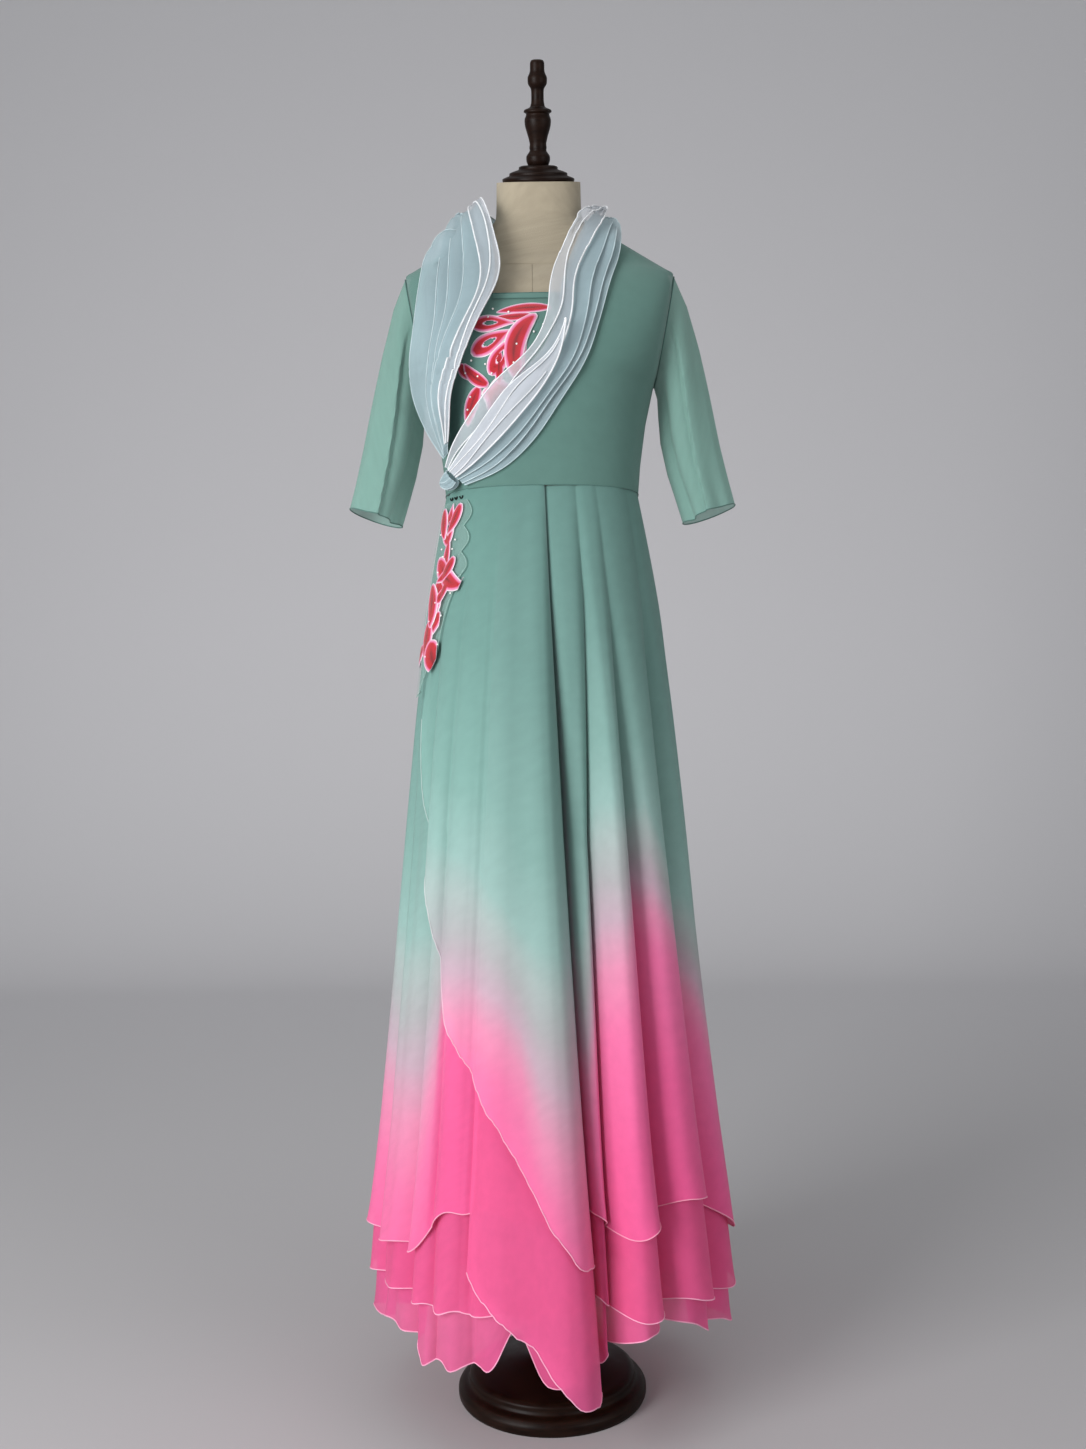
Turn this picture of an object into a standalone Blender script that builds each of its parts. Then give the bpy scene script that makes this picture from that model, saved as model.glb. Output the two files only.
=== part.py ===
"""A layered chiffon dance dress on a limbless dress form with a turned stand.

The frame is in metres, +Z up. The origin is on the floor, under the middle of the stand's base.
The dress faces -Y, and its left in this file is the viewer's left, at -X.
Each piece of cloth is a thin wall: a surface worked out from the sizes below, and the same
surface moved inwards by the cloth's thickness.
"""

import math
from collections import namedtuple

import bmesh
import bpy
from mathutils import Matrix, Vector

# Heights and thicknesses that drive the rest, in metres
CLOTH = 0.0011
SEAM_GAP = 0.0003
WAIST_Z = 1.2062
UNDERARM_Z = 1.352
SHOULDER_TIP_Z = 1.502
NECKLINE_Z = 1.452
BACK_NECKLINE_Z = 1.549
SHOULDER_NECK_Z = 1.568
NECK_EDGE_X = 0.062
NECK_TOP_Z = 1.632
NECK_TILT = math.radians(20)
FORM_BOTTOM_Z = 0.93

# Superellipse powers: the torso is a little squarer than the skirt
TORSO_POWER = 2.4
SKIRT_POWER = 2.05

# Outer surface of the bodice. drape_width is the half width of the smoother surface
# that the collar lies on.
Torso = namedtuple("Torso", "z half_width front back drape_width")
BODICE = [
    Torso(1.200, 0.1288, 0.100, 0.090, 0.1310),
    Torso(1.246, 0.1325, 0.108, 0.093, 0.1380),
    Torso(1.300, 0.1400, 0.121, 0.099, 0.1650),
    Torso(1.352, 0.1515, 0.127, 0.103, 0.1850),
    Torso(1.400, 0.1605, 0.120, 0.104, 0.1920),
    Torso(1.440, 0.1680, 0.106, 0.102, 0.1950),
    Torso(1.475, 0.1745, 0.088, 0.095, 0.1970),
    Torso(1.502, 0.1795, 0.070, 0.082, 0.2000),
    Torso(1.530, 0.1333, 0.061, 0.072, 0.2000),
    Torso(1.552, 0.0970, 0.057, 0.066, 0.2000),
    Torso(1.572, 0.0640, 0.055, 0.062, 0.2000),
    Torso(1.620, 0.0640, 0.055, 0.062, 0.2000),
]
ARMHOLE_HALF_DEPTH = 0.0475

# The bias strip that binds the front neckline: its height, its set-in at each end, and how far
# its outside stands off the bodice
BINDING_DEPTH = 0.0075
BINDING_DROP = 0.001
BINDING_INSET = 0.002
BINDING_LIFT = 0.002
BINDING_COLUMNS = 8

# The dress form's own surface, from the hips to the neck
Form = namedtuple("Form", "z half_width front back")
FORM = [
    Form(FORM_BOTTOM_Z, 0.134, 0.106, 0.110),
    Form(1.000, 0.136, 0.106, 0.112),
    Form(1.060, 0.131, 0.100, 0.104),
    Form(1.130, 0.121, 0.092, 0.092),
    Form(1.206, 0.1150, 0.087, 0.079),
    Form(1.300, 0.1280, 0.105, 0.088),
    Form(1.352, 0.1400, 0.115, 0.093),
    Form(1.400, 0.1500, 0.109, 0.094),
    Form(1.440, 0.1570, 0.096, 0.092),
    Form(1.475, 0.1610, 0.079, 0.085),
    Form(1.500, 0.1610, 0.062, 0.072),
    Form(1.512, 0.1570, 0.057, 0.067),
    Form(1.522, 0.1430, 0.053, 0.062),
    Form(1.540, 0.1135, 0.050, 0.058),
    Form(1.556, 0.0860, 0.048, 0.055),
    Form(1.568, 0.0660, 0.047, 0.053),
    Form(1.582, 0.0580, 0.047, 0.052),
    Form(NECK_TOP_Z, 0.0565, 0.049, 0.050),
]

# Outline of the skirt's folds at their ridges, seen from the front and the side
SkirtRing = namedtuple("SkirtRing", "z half_width front back")
SKIRT = [
    SkirtRing(0.060, 0.2530, 0.252, 0.253),
    SkirtRing(0.220, 0.2465, 0.243, 0.246),
    SkirtRing(0.400, 0.2260, 0.220, 0.224),
    SkirtRing(0.550, 0.2100, 0.203, 0.207),
    SkirtRing(0.665, 0.1990, 0.190, 0.194),
    SkirtRing(0.780, 0.1880, 0.176, 0.181),
    SkirtRing(0.905, 0.1750, 0.158, 0.164),
    SkirtRing(0.980, 0.1660, 0.146, 0.153),
    SkirtRing(1.050, 0.1575, 0.134, 0.139),
    SkirtRing(1.130, 0.1440, 0.117, 0.119),
    SkirtRing(WAIST_Z, 0.1290, 0.101, 0.0905),
]

# Valleys between the skirt's folds, in degrees round from the front towards +X.
# hip and knee are the valley's depth as a share of the radius there. lean turns its bottom sideways,
# and crest is how far the fold after it is set back.
Valley = namedtuple("Valley", "waist_deg hem_deg hip knee lean_deg crest", defaults=(0,))
VALLEYS = [
    Valley(2, 16.5, 0.075, 0.26, 1.0, 0.17),
    Valley(24, 22.5, 0.070, 0.26, -0.8),
    Valley(37, 39, 0.030, 0.17, 1.0),
    Valley(60, 64, 0.030, 0.20, 1.0),
    Valley(84, 88, 0.020, 0.16, 0.6),
    Valley(107, 111, 0.030, 0.20, -0.8),
    Valley(132, 136, 0.040, 0.22, 1.0),
    Valley(157, 160, 0.035, 0.19, -1.0),
    Valley(182, 184, 0.045, 0.23, 0.8),
    Valley(207, 209, 0.035, 0.20, 1.0),
    Valley(231, 235, 0.040, 0.22, -0.8),
    Valley(254, 259, 0.030, 0.18, 0.8),
    Valley(277, 284, 0.015, 0.12, -0.6),
    Valley(298, 306, 0.015, 0.12, 1.0),
    Valley(314, 319, 0.018, 0.05, -1.0),
    Valley(332, 332, 0.012, 0.065, 0.6),
    Valley(348, 352, 0.015, 0.03, -0.6),
]
FOLDS = len(VALLEYS)
FOLD_SHARPNESS = 1.5
HIP_Z = 1.06
KNEE_Z = 0.76
HEM_Z = 0.20
LAST_LEVEL_Z = 0.45
OVERLAY_SCALE_Z = 0.40

# Room that one layer takes inwards, from the waist down
LayerStep = namedtuple("LayerStep", "z step")
LAYER_STEPS = [
    LayerStep(0.10, 0.0074),
    LayerStep(KNEE_Z, 0.0070),
    LayerStep(HIP_Z, 0.0032),
    LayerStep(WAIST_Z, 0.0017),
]

# Hems of the tiers that run all round, in degrees from the front
Hem = namedtuple("Hem", "deg tier_1 tier_2 tier_3")
HEMS = [
    Hem(0, 0.300, 0.190, 0.112),
    Hem(19, 0.300, 0.198, 0.116),
    Hem(24, 0.276, 0.182, 0.150),
    Hem(38, 0.292, 0.180, 0.168),
    Hem(44, 0.318, 0.196, 0.160),
    Hem(62, 0.296, 0.172, 0.132),
    Hem(78, 0.232, 0.168, 0.116),
    Hem(110, 0.250, 0.178, 0.104),
    Hem(150, 0.262, 0.172, 0.098),
    Hem(190, 0.246, 0.180, 0.104),
    Hem(230, 0.258, 0.172, 0.100),
    Hem(265, 0.240, 0.176, 0.112),
    Hem(290, 0.238, 0.184, 0.134),
    Hem(306, 0.250, 0.188, 0.140),
    Hem(312, 0.246, 0.186, 0.112),
    Hem(322, 0.302, 0.184, 0.118),
    Hem(336, 0.312, 0.190, 0.122),
    Hem(342, 0.312, 0.190, 0.128),
    Hem(347, 0.308, 0.194, 0.180),
    Hem(351, 0.302, 0.194, 0.176),
    Hem(355, 0.300, 0.190, 0.116),
    Hem(360, 0.300, 0.190, 0.112),
]

# Cut edges of the two front overlays: the height of the edge at each bearing
Edge = namedtuple("Edge", "deg z")
OVERLAY_1_EDGE = [
    Edge(-70, 0.950),
    Edge(-62, 0.800),
    Edge(-57, 0.727),
    Edge(-50, 0.672),
    Edge(-43, 0.608),
    Edge(-38, 0.535),
    Edge(-30, 0.487),
    Edge(-22, 0.442),
    Edge(-16, 0.412),
    Edge(-7, 0.358),
    Edge(0, 0.303),
    Edge(9, 0.252),
    Edge(18, 0.234),
]
OVERLAY_2_EDGE = [
    Edge(-31, 0.300),
    Edge(-27, 0.238),
    Edge(-21, 0.213),
    Edge(-13, 0.185),
    Edge(-4, 0.158),
    Edge(1, 0.122),
    Edge(9, 0.089),
    Edge(18, 0.083),
]
APPLIQUE_EDGE = [
    Edge(-86, 0.930),
    Edge(-70, 0.940),
    Edge(-62, 0.975),
    Edge(-54, 1.030),
    Edge(-46, 1.090),
]

# Where each overlay starts, counted in folds from the centre front pleat round to the right
PLEAT = float(FOLDS)
OVERLAY_1_START = 12.62
OVERLAY_2_START = 15.04
# The tiers drop back behind the overlays over this many folds, ending just after the first one's start
DROP_LEAD = 0.62
DROP_FOLDS = 0.5
APPLIQUE_START = 12.0
APPLIQUE_END = 14.0
APPLIQUE_TOP_Z = 1.192
APPLIQUE_LAYER = -1.15

# The sleeve as rings, each an ellipse between an outer and an inner point
SleeveRing = namedtuple("SleeveRing", "outer_x outer_z inner_x inner_z half_depth centre_y")
SLEEVE = [
    SleeveRing(0.1808, 1.5010, 0.1532, 1.3535, 0.0470, 0.000),
    SleeveRing(0.1975, 1.4600, 0.1572, 1.3380, 0.0490, -0.001),
    SleeveRing(0.2130, 1.4000, 0.1580, 1.3120, 0.0495, -0.002),
    SleeveRing(0.2270, 1.3350, 0.1605, 1.2780, 0.0500, -0.004),
    SleeveRing(0.2400, 1.2700, 0.1695, 1.2350, 0.0505, -0.006),
    SleeveRing(0.2500, 1.2250, 0.1800, 1.2000, 0.0515, -0.008),
    SleeveRing(0.2580, 1.1910, 0.1895, 1.1690, 0.0530, -0.010),
]
SLEEVE_FOLD_DEG = 78
SLEEVE_FOLD_WIDTH_DEG = 26
SLEEVE_FOLD_DEPTH = 0.009

# A collar's band of petals: its edge by the neck and its edge towards the arm.
# on_chest is 1 where the band lies on the chest, so that its y is worked out there.
Band = namedtuple("Band", "inner_x inner_y inner_z outer_x outer_y outer_z on_chest")
COLLAR_LEFT = [
    Band(-0.0002, 0.0640, 1.592, -0.0002, 0.0700, 1.545, 0),
    Band(-0.0400, 0.0500, 1.594, -0.0620, 0.0580, 1.552, 0),
    Band(-0.0640, 0.0120, 1.593, -0.1000, 0.0160, 1.557, 0),
    Band(-0.0650, -0.0240, 1.586, -0.1320, -0.0140, 1.542, 0),
    Band(-0.0580, -0.0550, 1.536, -0.1540, -0.0500, 1.496, 1),
    Band(-0.0500, -0.1000, 1.466, -0.1650, -0.0650, 1.410, 1),
    Band(-0.0800, -0.1100, 1.398, -0.1680, -0.0700, 1.364, 1),
    Band(-0.1040, -0.1100, 1.334, -0.1610, -0.0600, 1.325, 1),
    Band(-0.1100, -0.1000, 1.294, -0.1450, -0.0500, 1.284, 1),
    Band(-0.1160, -0.0800, 1.257, -0.1250, -0.0500, 1.250, 1),
]
COLLAR_RIGHT = [
    Band(0.0002, 0.0640, 1.592, 0.0002, 0.0700, 1.545, 0),
    Band(0.0400, 0.0500, 1.593, 0.0600, 0.0585, 1.553, 0),
    Band(0.0630, 0.0080, 1.588, 0.0930, 0.0160, 1.561, 0),
    Band(0.0580, -0.0340, 1.566, 0.1060, -0.0180, 1.555, 0),
    Band(0.0300, -0.0600, 1.511, 0.1020, -0.0600, 1.514, 1),
    Band(0.0140, -0.1000, 1.458, 0.0880, -0.0900, 1.464, 1),
    Band(0.0090, -0.1150, 1.411, 0.0780, -0.1000, 1.418, 1),
    Band(-0.0128, -0.1200, 1.367, 0.0600, -0.1100, 1.360, 1),
    Band(-0.0550, -0.1200, 1.333, 0.0250, -0.1200, 1.308, 1),
    Band(-0.0880, -0.1000, 1.292, -0.0120, -0.1100, 1.262, 1),
    Band(-0.1100, -0.0800, 1.258, -0.0560, -0.0900, 1.226, 1),
    Band(-0.1200, -0.0600, 1.233, -0.1080, -0.0700, 1.209, 1),
]

# The petals of a collar, from the lowest up. start and end count the rows of its band,
# inner and outer are shares of its width, and level counts the cloths below.
Petal = namedtuple("Petal", "name start end inner outer level waves")
PETALS_LEFT = [
    Petal("collar_left_petal_1", 3.45, 9.0, 0.30, 1.00, 0, -1.0),
    Petal("collar_left_petal_2", 2.90, 8.9, 0.22, 0.70, 1, 1.3),
    Petal("collar_left_petal_3", 2.30, 8.8, 0.14, 0.56, 2, 1.0),
    Petal("collar_left_petal_4", 0.00, 8.7, 0.06, 0.44, 3, 1.5),
    Petal("collar_left_inner", 1.90, 8.6, 0.00, 0.24, 4, 1.6),
]
PETALS_RIGHT = [
    Petal("collar_right_petal_1", 2.60, 10.74, 0.34, 1.00, 0, 1.4),
    Petal("collar_right_petal_2", 2.10, 10.74, 0.26, 0.88, 1, 1.2),
    Petal("collar_right_petal_3", 0.00, 10.74, 0.20, 0.74, 2, 1.6),
    Petal("collar_right_inner", 2.00, 10.7, 0.00, 0.44, 3, 2.2),
    Petal("collar_right_white", 6.30, 10.7, 0.22, 0.62, 4, 1.0),
]
PETAL_STEP = 0.0040
PETAL_CLEARANCE = 0.0028
PETAL_SEWN_STEP = 0.0017
PETAL_SEWN_CLEARANCE = 0.0028
SHOULDER_CLEARANCE = 0.002
PETAL_SEWN_ROWS = 1.6
PETAL_TIP = 0.55
PETAL_TIP_WIDTH = 0.25
PETAL_WAVE = 0.035
# Where across its width a petal's tip is, and how far before the band's end it lies sewn down
PETAL_TIP_SHARE = 0.35
PETAL_SEWN_END = 1.2

# Turned wood, as radius and height pairs from the bottom up, drawn along the part's own axis
Turning = namedtuple("Turning", "radius height")
BASE_PROFILE = [
    Turning(0.124, 0.0000),
    Turning(0.1262, 0.0040),
    Turning(0.1262, 0.0130),
    Turning(0.1215, 0.0190),
    Turning(0.1130, 0.0210),
    Turning(0.1110, 0.0250),
    Turning(0.1110, 0.0310),
    Turning(0.1060, 0.0350),
    Turning(0.0960, 0.0365),
    Turning(0.0600, 0.0430),
    Turning(0.0300, 0.0500),
    Turning(0.0240, 0.0580),
    Turning(0.0210, 0.0660),
]
POLE_RADIUS = 0.0125
CAP_PROFILE = [
    Turning(0.0478, 0.0000),
    Turning(0.0486, 0.0020),
    Turning(0.0486, 0.0045),
    Turning(0.0440, 0.0065),
    Turning(0.0392, 0.0080),
    Turning(0.0392, 0.0115),
    Turning(0.0330, 0.0140),
    Turning(0.0262, 0.0160),
    Turning(0.0262, 0.0195),
    Turning(0.0200, 0.0215),
]
FINIAL_PROFILE = [
    Turning(0.0140, 0.0000),
    Turning(0.0160, 0.0050),
    Turning(0.0160, 0.0110),
    Turning(0.0110, 0.0175),
    Turning(0.0117, 0.0215),
    Turning(0.0110, 0.0260),
    Turning(0.0125, 0.0330),
    Turning(0.0172, 0.0480),
    Turning(0.0178, 0.0560),
    Turning(0.0150, 0.0630),
    Turning(0.0188, 0.0650),
    Turning(0.0180, 0.0680),
    Turning(0.0100, 0.0710),
    Turning(0.0083, 0.0780),
    Turning(0.0083, 0.0930),
    Turning(0.0126, 0.0990),
    Turning(0.0130, 0.1070),
    Turning(0.0095, 0.1140),
    Turning(0.0095, 0.1250),
    Turning(0.0070, 0.1286),
]

# The knot that the right collar's petals end in, as rings along its own axis
Knot = namedtuple("Knot", "along half_height half_depth")
KNOT = [
    Knot(0.0000, 0.0115, 0.0066),
    Knot(0.0060, 0.0128, 0.0078),
    Knot(0.0130, 0.0108, 0.0066),
    Knot(0.0190, 0.0060, 0.0042),
    Knot(0.0215, 0.0020, 0.0015),
]
KNOT_PLACE = 10.8
KNOT_GAP = -0.0002
KNOT_LIFT = 0.0085
KNOT_SIDES = 14
# How far the knot bends from its start to its tip, towards the side and away from the waist
KNOT_BEND = math.radians(60)
KNOT_BEND_SIDEWAYS = 0.75
KNOT_BEND_OUTWARDS = 0.66

# Wire hooks under the knot, each at a place counted in folds
HOOK_PLACES = (12.85, 13.1, 13.4)
HOOK_Z = 1.1975
HOOK_WIRE = 0.0009
HOOK_RADIUS = 0.0026
HOOK_LIFT = 0.0004
HOOK_START_TURN = 0.45
HOOK_TURN = 0.6
HOOK_RINGS = 9
HOOK_SIDES = 6

# How finely each piece is divided
POINTS_PER_FOLD = 4
FORM_SIDES = 24
SLEEVE_SIDES = 20
SLEEVE_ROWS = 6
BASE_SIDES = 30
POLE_SIDES = 16
CAP_SIDES = 28
FINIAL_SIDES = 14
TINY = 1e-3


def row_value(rows, key, column, at):
    """A column of a table at some place along its key, on a smooth curve through the rows."""
    places = [getattr(row, key) for row in rows]
    values = [getattr(row, column) for row in rows]
    if at <= places[0]:
        return values[0]
    if at >= places[-1]:
        return values[-1]
    i = next(n for n in range(len(places) - 1) if at <= places[n + 1])
    slopes = []
    for n in (i, i + 1):
        low = max(n - 1, 0)
        high = min(n + 1, len(rows) - 1)
        slopes.append((values[high] - values[low]) / (places[high] - places[low]))
    span = places[i + 1] - places[i]
    t = (at - places[i]) / span
    rise = values[i + 1] - values[i]
    if rise == 0:
        return values[i]
    # Slopes are held in, so that the curve never swings past its rows
    start, end = (max(0, min(3, slope * span / rise)) * rise for slope in slopes)
    return (
        values[i]
        + t * start
        + t * t * (3 * rise - 2 * start - end)
        + t * t * t * (start + end - 2 * rise)
    )


def straight_value(rows, key, column, at):
    """A column of a table at some place along its key, on straight lines between the rows."""
    for low, high in zip(rows, rows[1:]):
        if at <= getattr(high, key):
            break
    start = getattr(low, key)
    t = (at - start) / (getattr(high, key) - start)
    t = max(0.0, min(1.0, t))
    return getattr(low, column) * (1 - t) + getattr(high, column) * t


def spread(start, end, count):
    """count + 1 even steps from start to end."""
    return [start + (end - start) * n / count for n in range(count + 1)]


def smooth_step(t):
    t = max(0.0, min(1.0, t))
    return t * t * (3 - 2 * t)


def superellipse(share, power):
    """How far out a superellipse is at this share of its other half axis."""
    return max(0.0, 1 - min(1.0, abs(share)) ** power) ** (1 / power)


def armhole_depth(z):
    """Half the depth of the armhole at a height, from nothing at the underarm and the shoulder."""
    middle = (UNDERARM_Z + SHOULDER_TIP_Z) / 2
    return ARMHOLE_HALF_DEPTH * superellipse((z - middle) / (SHOULDER_TIP_Z - middle), 2)


def bodice_y(x, z, side):
    """The bodice's outer surface: side is -1 on the front and 1 on the back."""
    column = "front" if side < 0 else "back"
    width = straight_value(BODICE, "z", "half_width", z)
    depth = row_value(BODICE, "z", column, z)
    edge = armhole_depth(z)
    return side * (edge + (depth - edge) * superellipse(x / width, TORSO_POWER))


def chest_y(x, z):
    """The smoother surface over the chest that the collar lies on."""
    width = row_value(BODICE, "z", "drape_width", z)
    edge = armhole_depth(z)
    return -edge - (row_value(BODICE, "z", "front", z) - edge) * superellipse(x / width, TORSO_POWER)


def shoulder_height(x, y):
    """The height at which the bodice's shoulder passes under a place, or its lowest row beside it."""
    low = UNDERARM_Z
    high = SHOULDER_NECK_Z
    side = -1 if y < 0 else 1
    for _ in range(14):
        middle = (low + high) / 2
        width = straight_value(BODICE, "z", "half_width", middle)
        if abs(x) < width and abs(y) < abs(bodice_y(x, middle, side)):
            low = middle
        else:
            high = middle
    return low


def skirt_bearing(column, z):
    """The bearing of a place counted in folds, before any lean, in degrees."""
    turn, place = divmod(column, FOLDS)
    index = int(place)
    share = place - index
    drop = (WAIST_Z - z) / (WAIST_Z - HEM_Z)
    low = VALLEYS[index]
    high = VALLEYS[(index + 1) % FOLDS]
    start = low.waist_deg + (low.hem_deg - low.waist_deg) * drop
    end = high.waist_deg + (high.hem_deg - high.waist_deg) * drop
    if index == FOLDS - 1:
        end += 360
    return 360 * turn + start + (end - start) * share


def front_share(column):
    """1 where the overlays hang in front of the tiers, and 0 where the tiers are outermost."""
    place = column % FOLDS
    if place < 1:
        return 1 - smooth_step(place)
    return smooth_step((place - OVERLAY_1_START + DROP_LEAD) / DROP_FOLDS)


def skirt_point(column, z, layer, behind=0):
    """A place on a layer of the skirt. layer counts the cloths outside it, and behind those in front."""
    place = column % FOLDS
    index = int(place)
    share = place - index
    low = VALLEYS[index]
    high = VALLEYS[(index + 1) % FOLDS]
    valley = (1 - math.sin(math.pi * share)) ** FOLD_SHARPNESS
    mix = smooth_step(share)
    hip = low.hip + (high.hip - low.hip) * mix
    knee = low.knee + (high.knee - low.knee) * mix
    lean = low.lean_deg if share < 0.5 else high.lean_deg
    near_hip = min(1.0, 0.25 + 0.75 * (WAIST_Z - z) / (WAIST_Z - HIP_Z))
    near_knee = max(0.0, min(1.0, (HIP_Z - z) / (HIP_Z - KNEE_Z)))
    depth = hip * near_hip + (knee - hip) * near_knee
    bearing = skirt_bearing(column, z) + lean * valley * near_knee
    angle = math.radians(bearing)
    half_width = row_value(SKIRT, "z", "half_width", z)
    reach = row_value(SKIRT, "z", "front" if math.cos(angle) > 0 else "back", z)
    power = SKIRT_POWER + (TORSO_POWER - SKIRT_POWER) * smooth_step((z - HIP_Z) / (WAIST_Z - HIP_Z))
    across = abs(math.sin(angle) / half_width) ** power
    along = abs(math.cos(angle) / reach) ** power
    radius = (across + along) ** (-1 / power)
    inset = (layer + behind * front_share(column)) * straight_value(LAYER_STEPS, "z", "step", z)
    radius = (radius - inset) * (1 - depth * valley - low.crest * near_knee * (1 - valley))
    return Vector((radius * math.sin(angle), -radius * math.cos(angle), z))


def hem_height(column, tier):
    """Where a tier ends at this place round the skirt."""
    height = HEM_Z
    for _ in range(4):
        height = straight_value(HEMS, "deg", tier, skirt_bearing(column, height) % 360)
    return height


def edge_height(rows, column):
    """Where a cut edge crosses this place round the skirt."""
    height = rows[-1].z
    for _ in range(30):
        bearing = skirt_bearing(column, height) - 360
        height = (height + straight_value(rows, "deg", "z", bearing)) / 2
    return height


def sleeve_point(side, turn_deg, place):
    """A place on a sleeve. place runs from 0 at the armhole to 1 at the hem, and turn_deg round it."""
    row = place * (len(SLEEVE) - 1)
    index = min(int(row), len(SLEEVE) - 2)
    share = row - index
    ring = [a * (1 - share) + b * share for a, b in zip(SLEEVE[index], SLEEVE[index + 1])]
    outer_x, outer_z, inner_x, inner_z, half_depth, centre_y = ring
    turn = math.radians(turn_deg)
    off = (turn_deg - SLEEVE_FOLD_DEG) / SLEEVE_FOLD_WIDTH_DEG
    pinch = SLEEVE_FOLD_DEPTH * math.exp(-off * off) * place
    across = math.cos(turn) * (1 - pinch / half_depth)
    x = (outer_x + inner_x) / 2 + across * (outer_x - inner_x) / 2
    z = (outer_z + inner_z) / 2 + across * (outer_z - inner_z) / 2
    y = centre_y - (half_depth - pinch) * math.sin(turn)
    return Vector((side * x, y, z))


def band_value(rows, column, place):
    """A column of a collar's band, on a smooth curve through its rows."""
    index = min(max(int(place), 0), len(rows) - 2)
    t = place - index
    before, start, end, after = (
        getattr(rows[min(max(index + n, 0), len(rows) - 1)], column) for n in (-1, 0, 1, 2)
    )
    second = 2 * before - 5 * start + 4 * end - after
    third = 3 * (start - end) + after - before
    return start + 0.5 * t * (end - before + t * (second + t * third))


def band_point(rows, place, share):
    """A place on a collar's band. place counts its rows, and share runs from the neck outwards."""
    ends = [band_value(rows, name, place) for name in Band._fields]
    x = ends[0] + (ends[3] - ends[0]) * share
    y = ends[1] + (ends[4] - ends[1]) * share
    z = ends[2] + (ends[5] - ends[2]) * share
    on_chest = max(0.0, min(1.0, ends[6]))
    y = y * (1 - on_chest) + chest_y(x, z) * on_chest
    if on_chest < 1:
        z = max(z, shoulder_height(x, y) + SHOULDER_CLEARANCE)
    return Vector((x, y, z))


def petal_rows(petal):
    """Places along a petal: its rounded start, then places that all petals share, closer by the neck."""
    places = [petal.start + step for step in ((0, 0.12, 0.35) if petal.start else (0,))]
    shared = [n / 2 for n in range(9)] + list(range(5, 12))
    return places + [n for n in shared if places[-1] + 0.2 < n < petal.end - 0.2] + [petal.end]


def petal_point(rows, petal, place, across):
    """A place on one petal, raised above the petals below it."""
    side = 1 if rows is COLLAR_RIGHT else -1
    along = (place - petal.start) / (petal.end - petal.start)
    tip = min(1.0, (place - petal.start) / PETAL_TIP) if petal.start else 1.0
    lobe = PETAL_TIP_WIDTH + (1 - PETAL_TIP_WIDTH) * superellipse(1 - tip, 2)
    wave = PETAL_WAVE * math.sin(2 * math.pi * petal.waves * along)
    middle = petal.inner + PETAL_TIP_SHARE * (petal.outer - petal.inner)
    inner = middle + (petal.inner - middle) * lobe
    outer = middle + (petal.outer + wave - middle) * lobe
    share = inner + (outer - inner) * across
    here = band_point(rows, place, share)
    down = band_point(rows, place + TINY, share) - here
    out = band_point(rows, place, share + TINY) - here
    normal = side * down.cross(out)
    sewn = smooth_step((place - len(rows) + PETAL_SEWN_END + PETAL_SEWN_ROWS) / PETAL_SEWN_ROWS)
    step = PETAL_STEP + (PETAL_SEWN_STEP - PETAL_STEP) * sewn
    clearance = PETAL_CLEARANCE + (PETAL_SEWN_CLEARANCE - PETAL_CLEARANCE) * sewn
    return here + normal.normalized() * (clearance + CLOTH + petal.level * step)


def knot_ring(along):
    """The middle of one of the knot's rings, and the directions of its height and its depth."""
    here = band_point(COLLAR_RIGHT, KNOT_PLACE, 0.5)
    down = here - band_point(COLLAR_RIGHT, KNOT_PLACE - 0.3, 0.5)
    out = (band_point(COLLAR_RIGHT, KNOT_PLACE, 0.6) - here).normalized()
    lift = down.cross(out).normalized()
    axis = out.cross(lift)
    aside = (lift * KNOT_BEND_OUTWARDS - out * KNOT_BEND_SIDEWAYS).normalized()
    length = KNOT[-1].along
    bend = KNOT_BEND * along / length
    curve = (axis * math.sin(bend) + aside * (1 - math.cos(bend))) * (length / KNOT_BEND)
    turn = Matrix.Rotation(bend, 3, axis.cross(aside))
    centre = here + lift * KNOT_LIFT + axis * KNOT_GAP + curve
    return centre, turn @ out, turn @ lift


def material(name, colour, roughness, metallic=0.0):
    made = bpy.data.materials.new(name)
    made.diffuse_color = (*colour, 1)
    made.use_nodes = True
    shader = made.node_tree.nodes["Principled BSDF"]
    shader.inputs["Base Color"].default_value = (*colour, 1)
    shader.inputs["Roughness"].default_value = roughness
    shader.inputs["Metallic"].default_value = metallic
    return made


def add_object(name, points, faces, finish):
    mesh = bpy.data.meshes.new(name)
    mesh.from_pydata(points, [], faces)
    editable = bmesh.new()
    editable.from_mesh(mesh)
    if editable.calc_volume(signed=True) < 0:
        bmesh.ops.reverse_faces(editable, faces=editable.faces)
    editable.to_mesh(mesh)
    editable.free()
    mesh.shade_smooth()
    mesh.set_sharp_from_angle(angle=math.radians(50))
    mesh.materials.append(finish)
    made = bpy.data.objects.new(name, mesh)
    bpy.context.scene.collection.objects.link(made)
    return made


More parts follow.
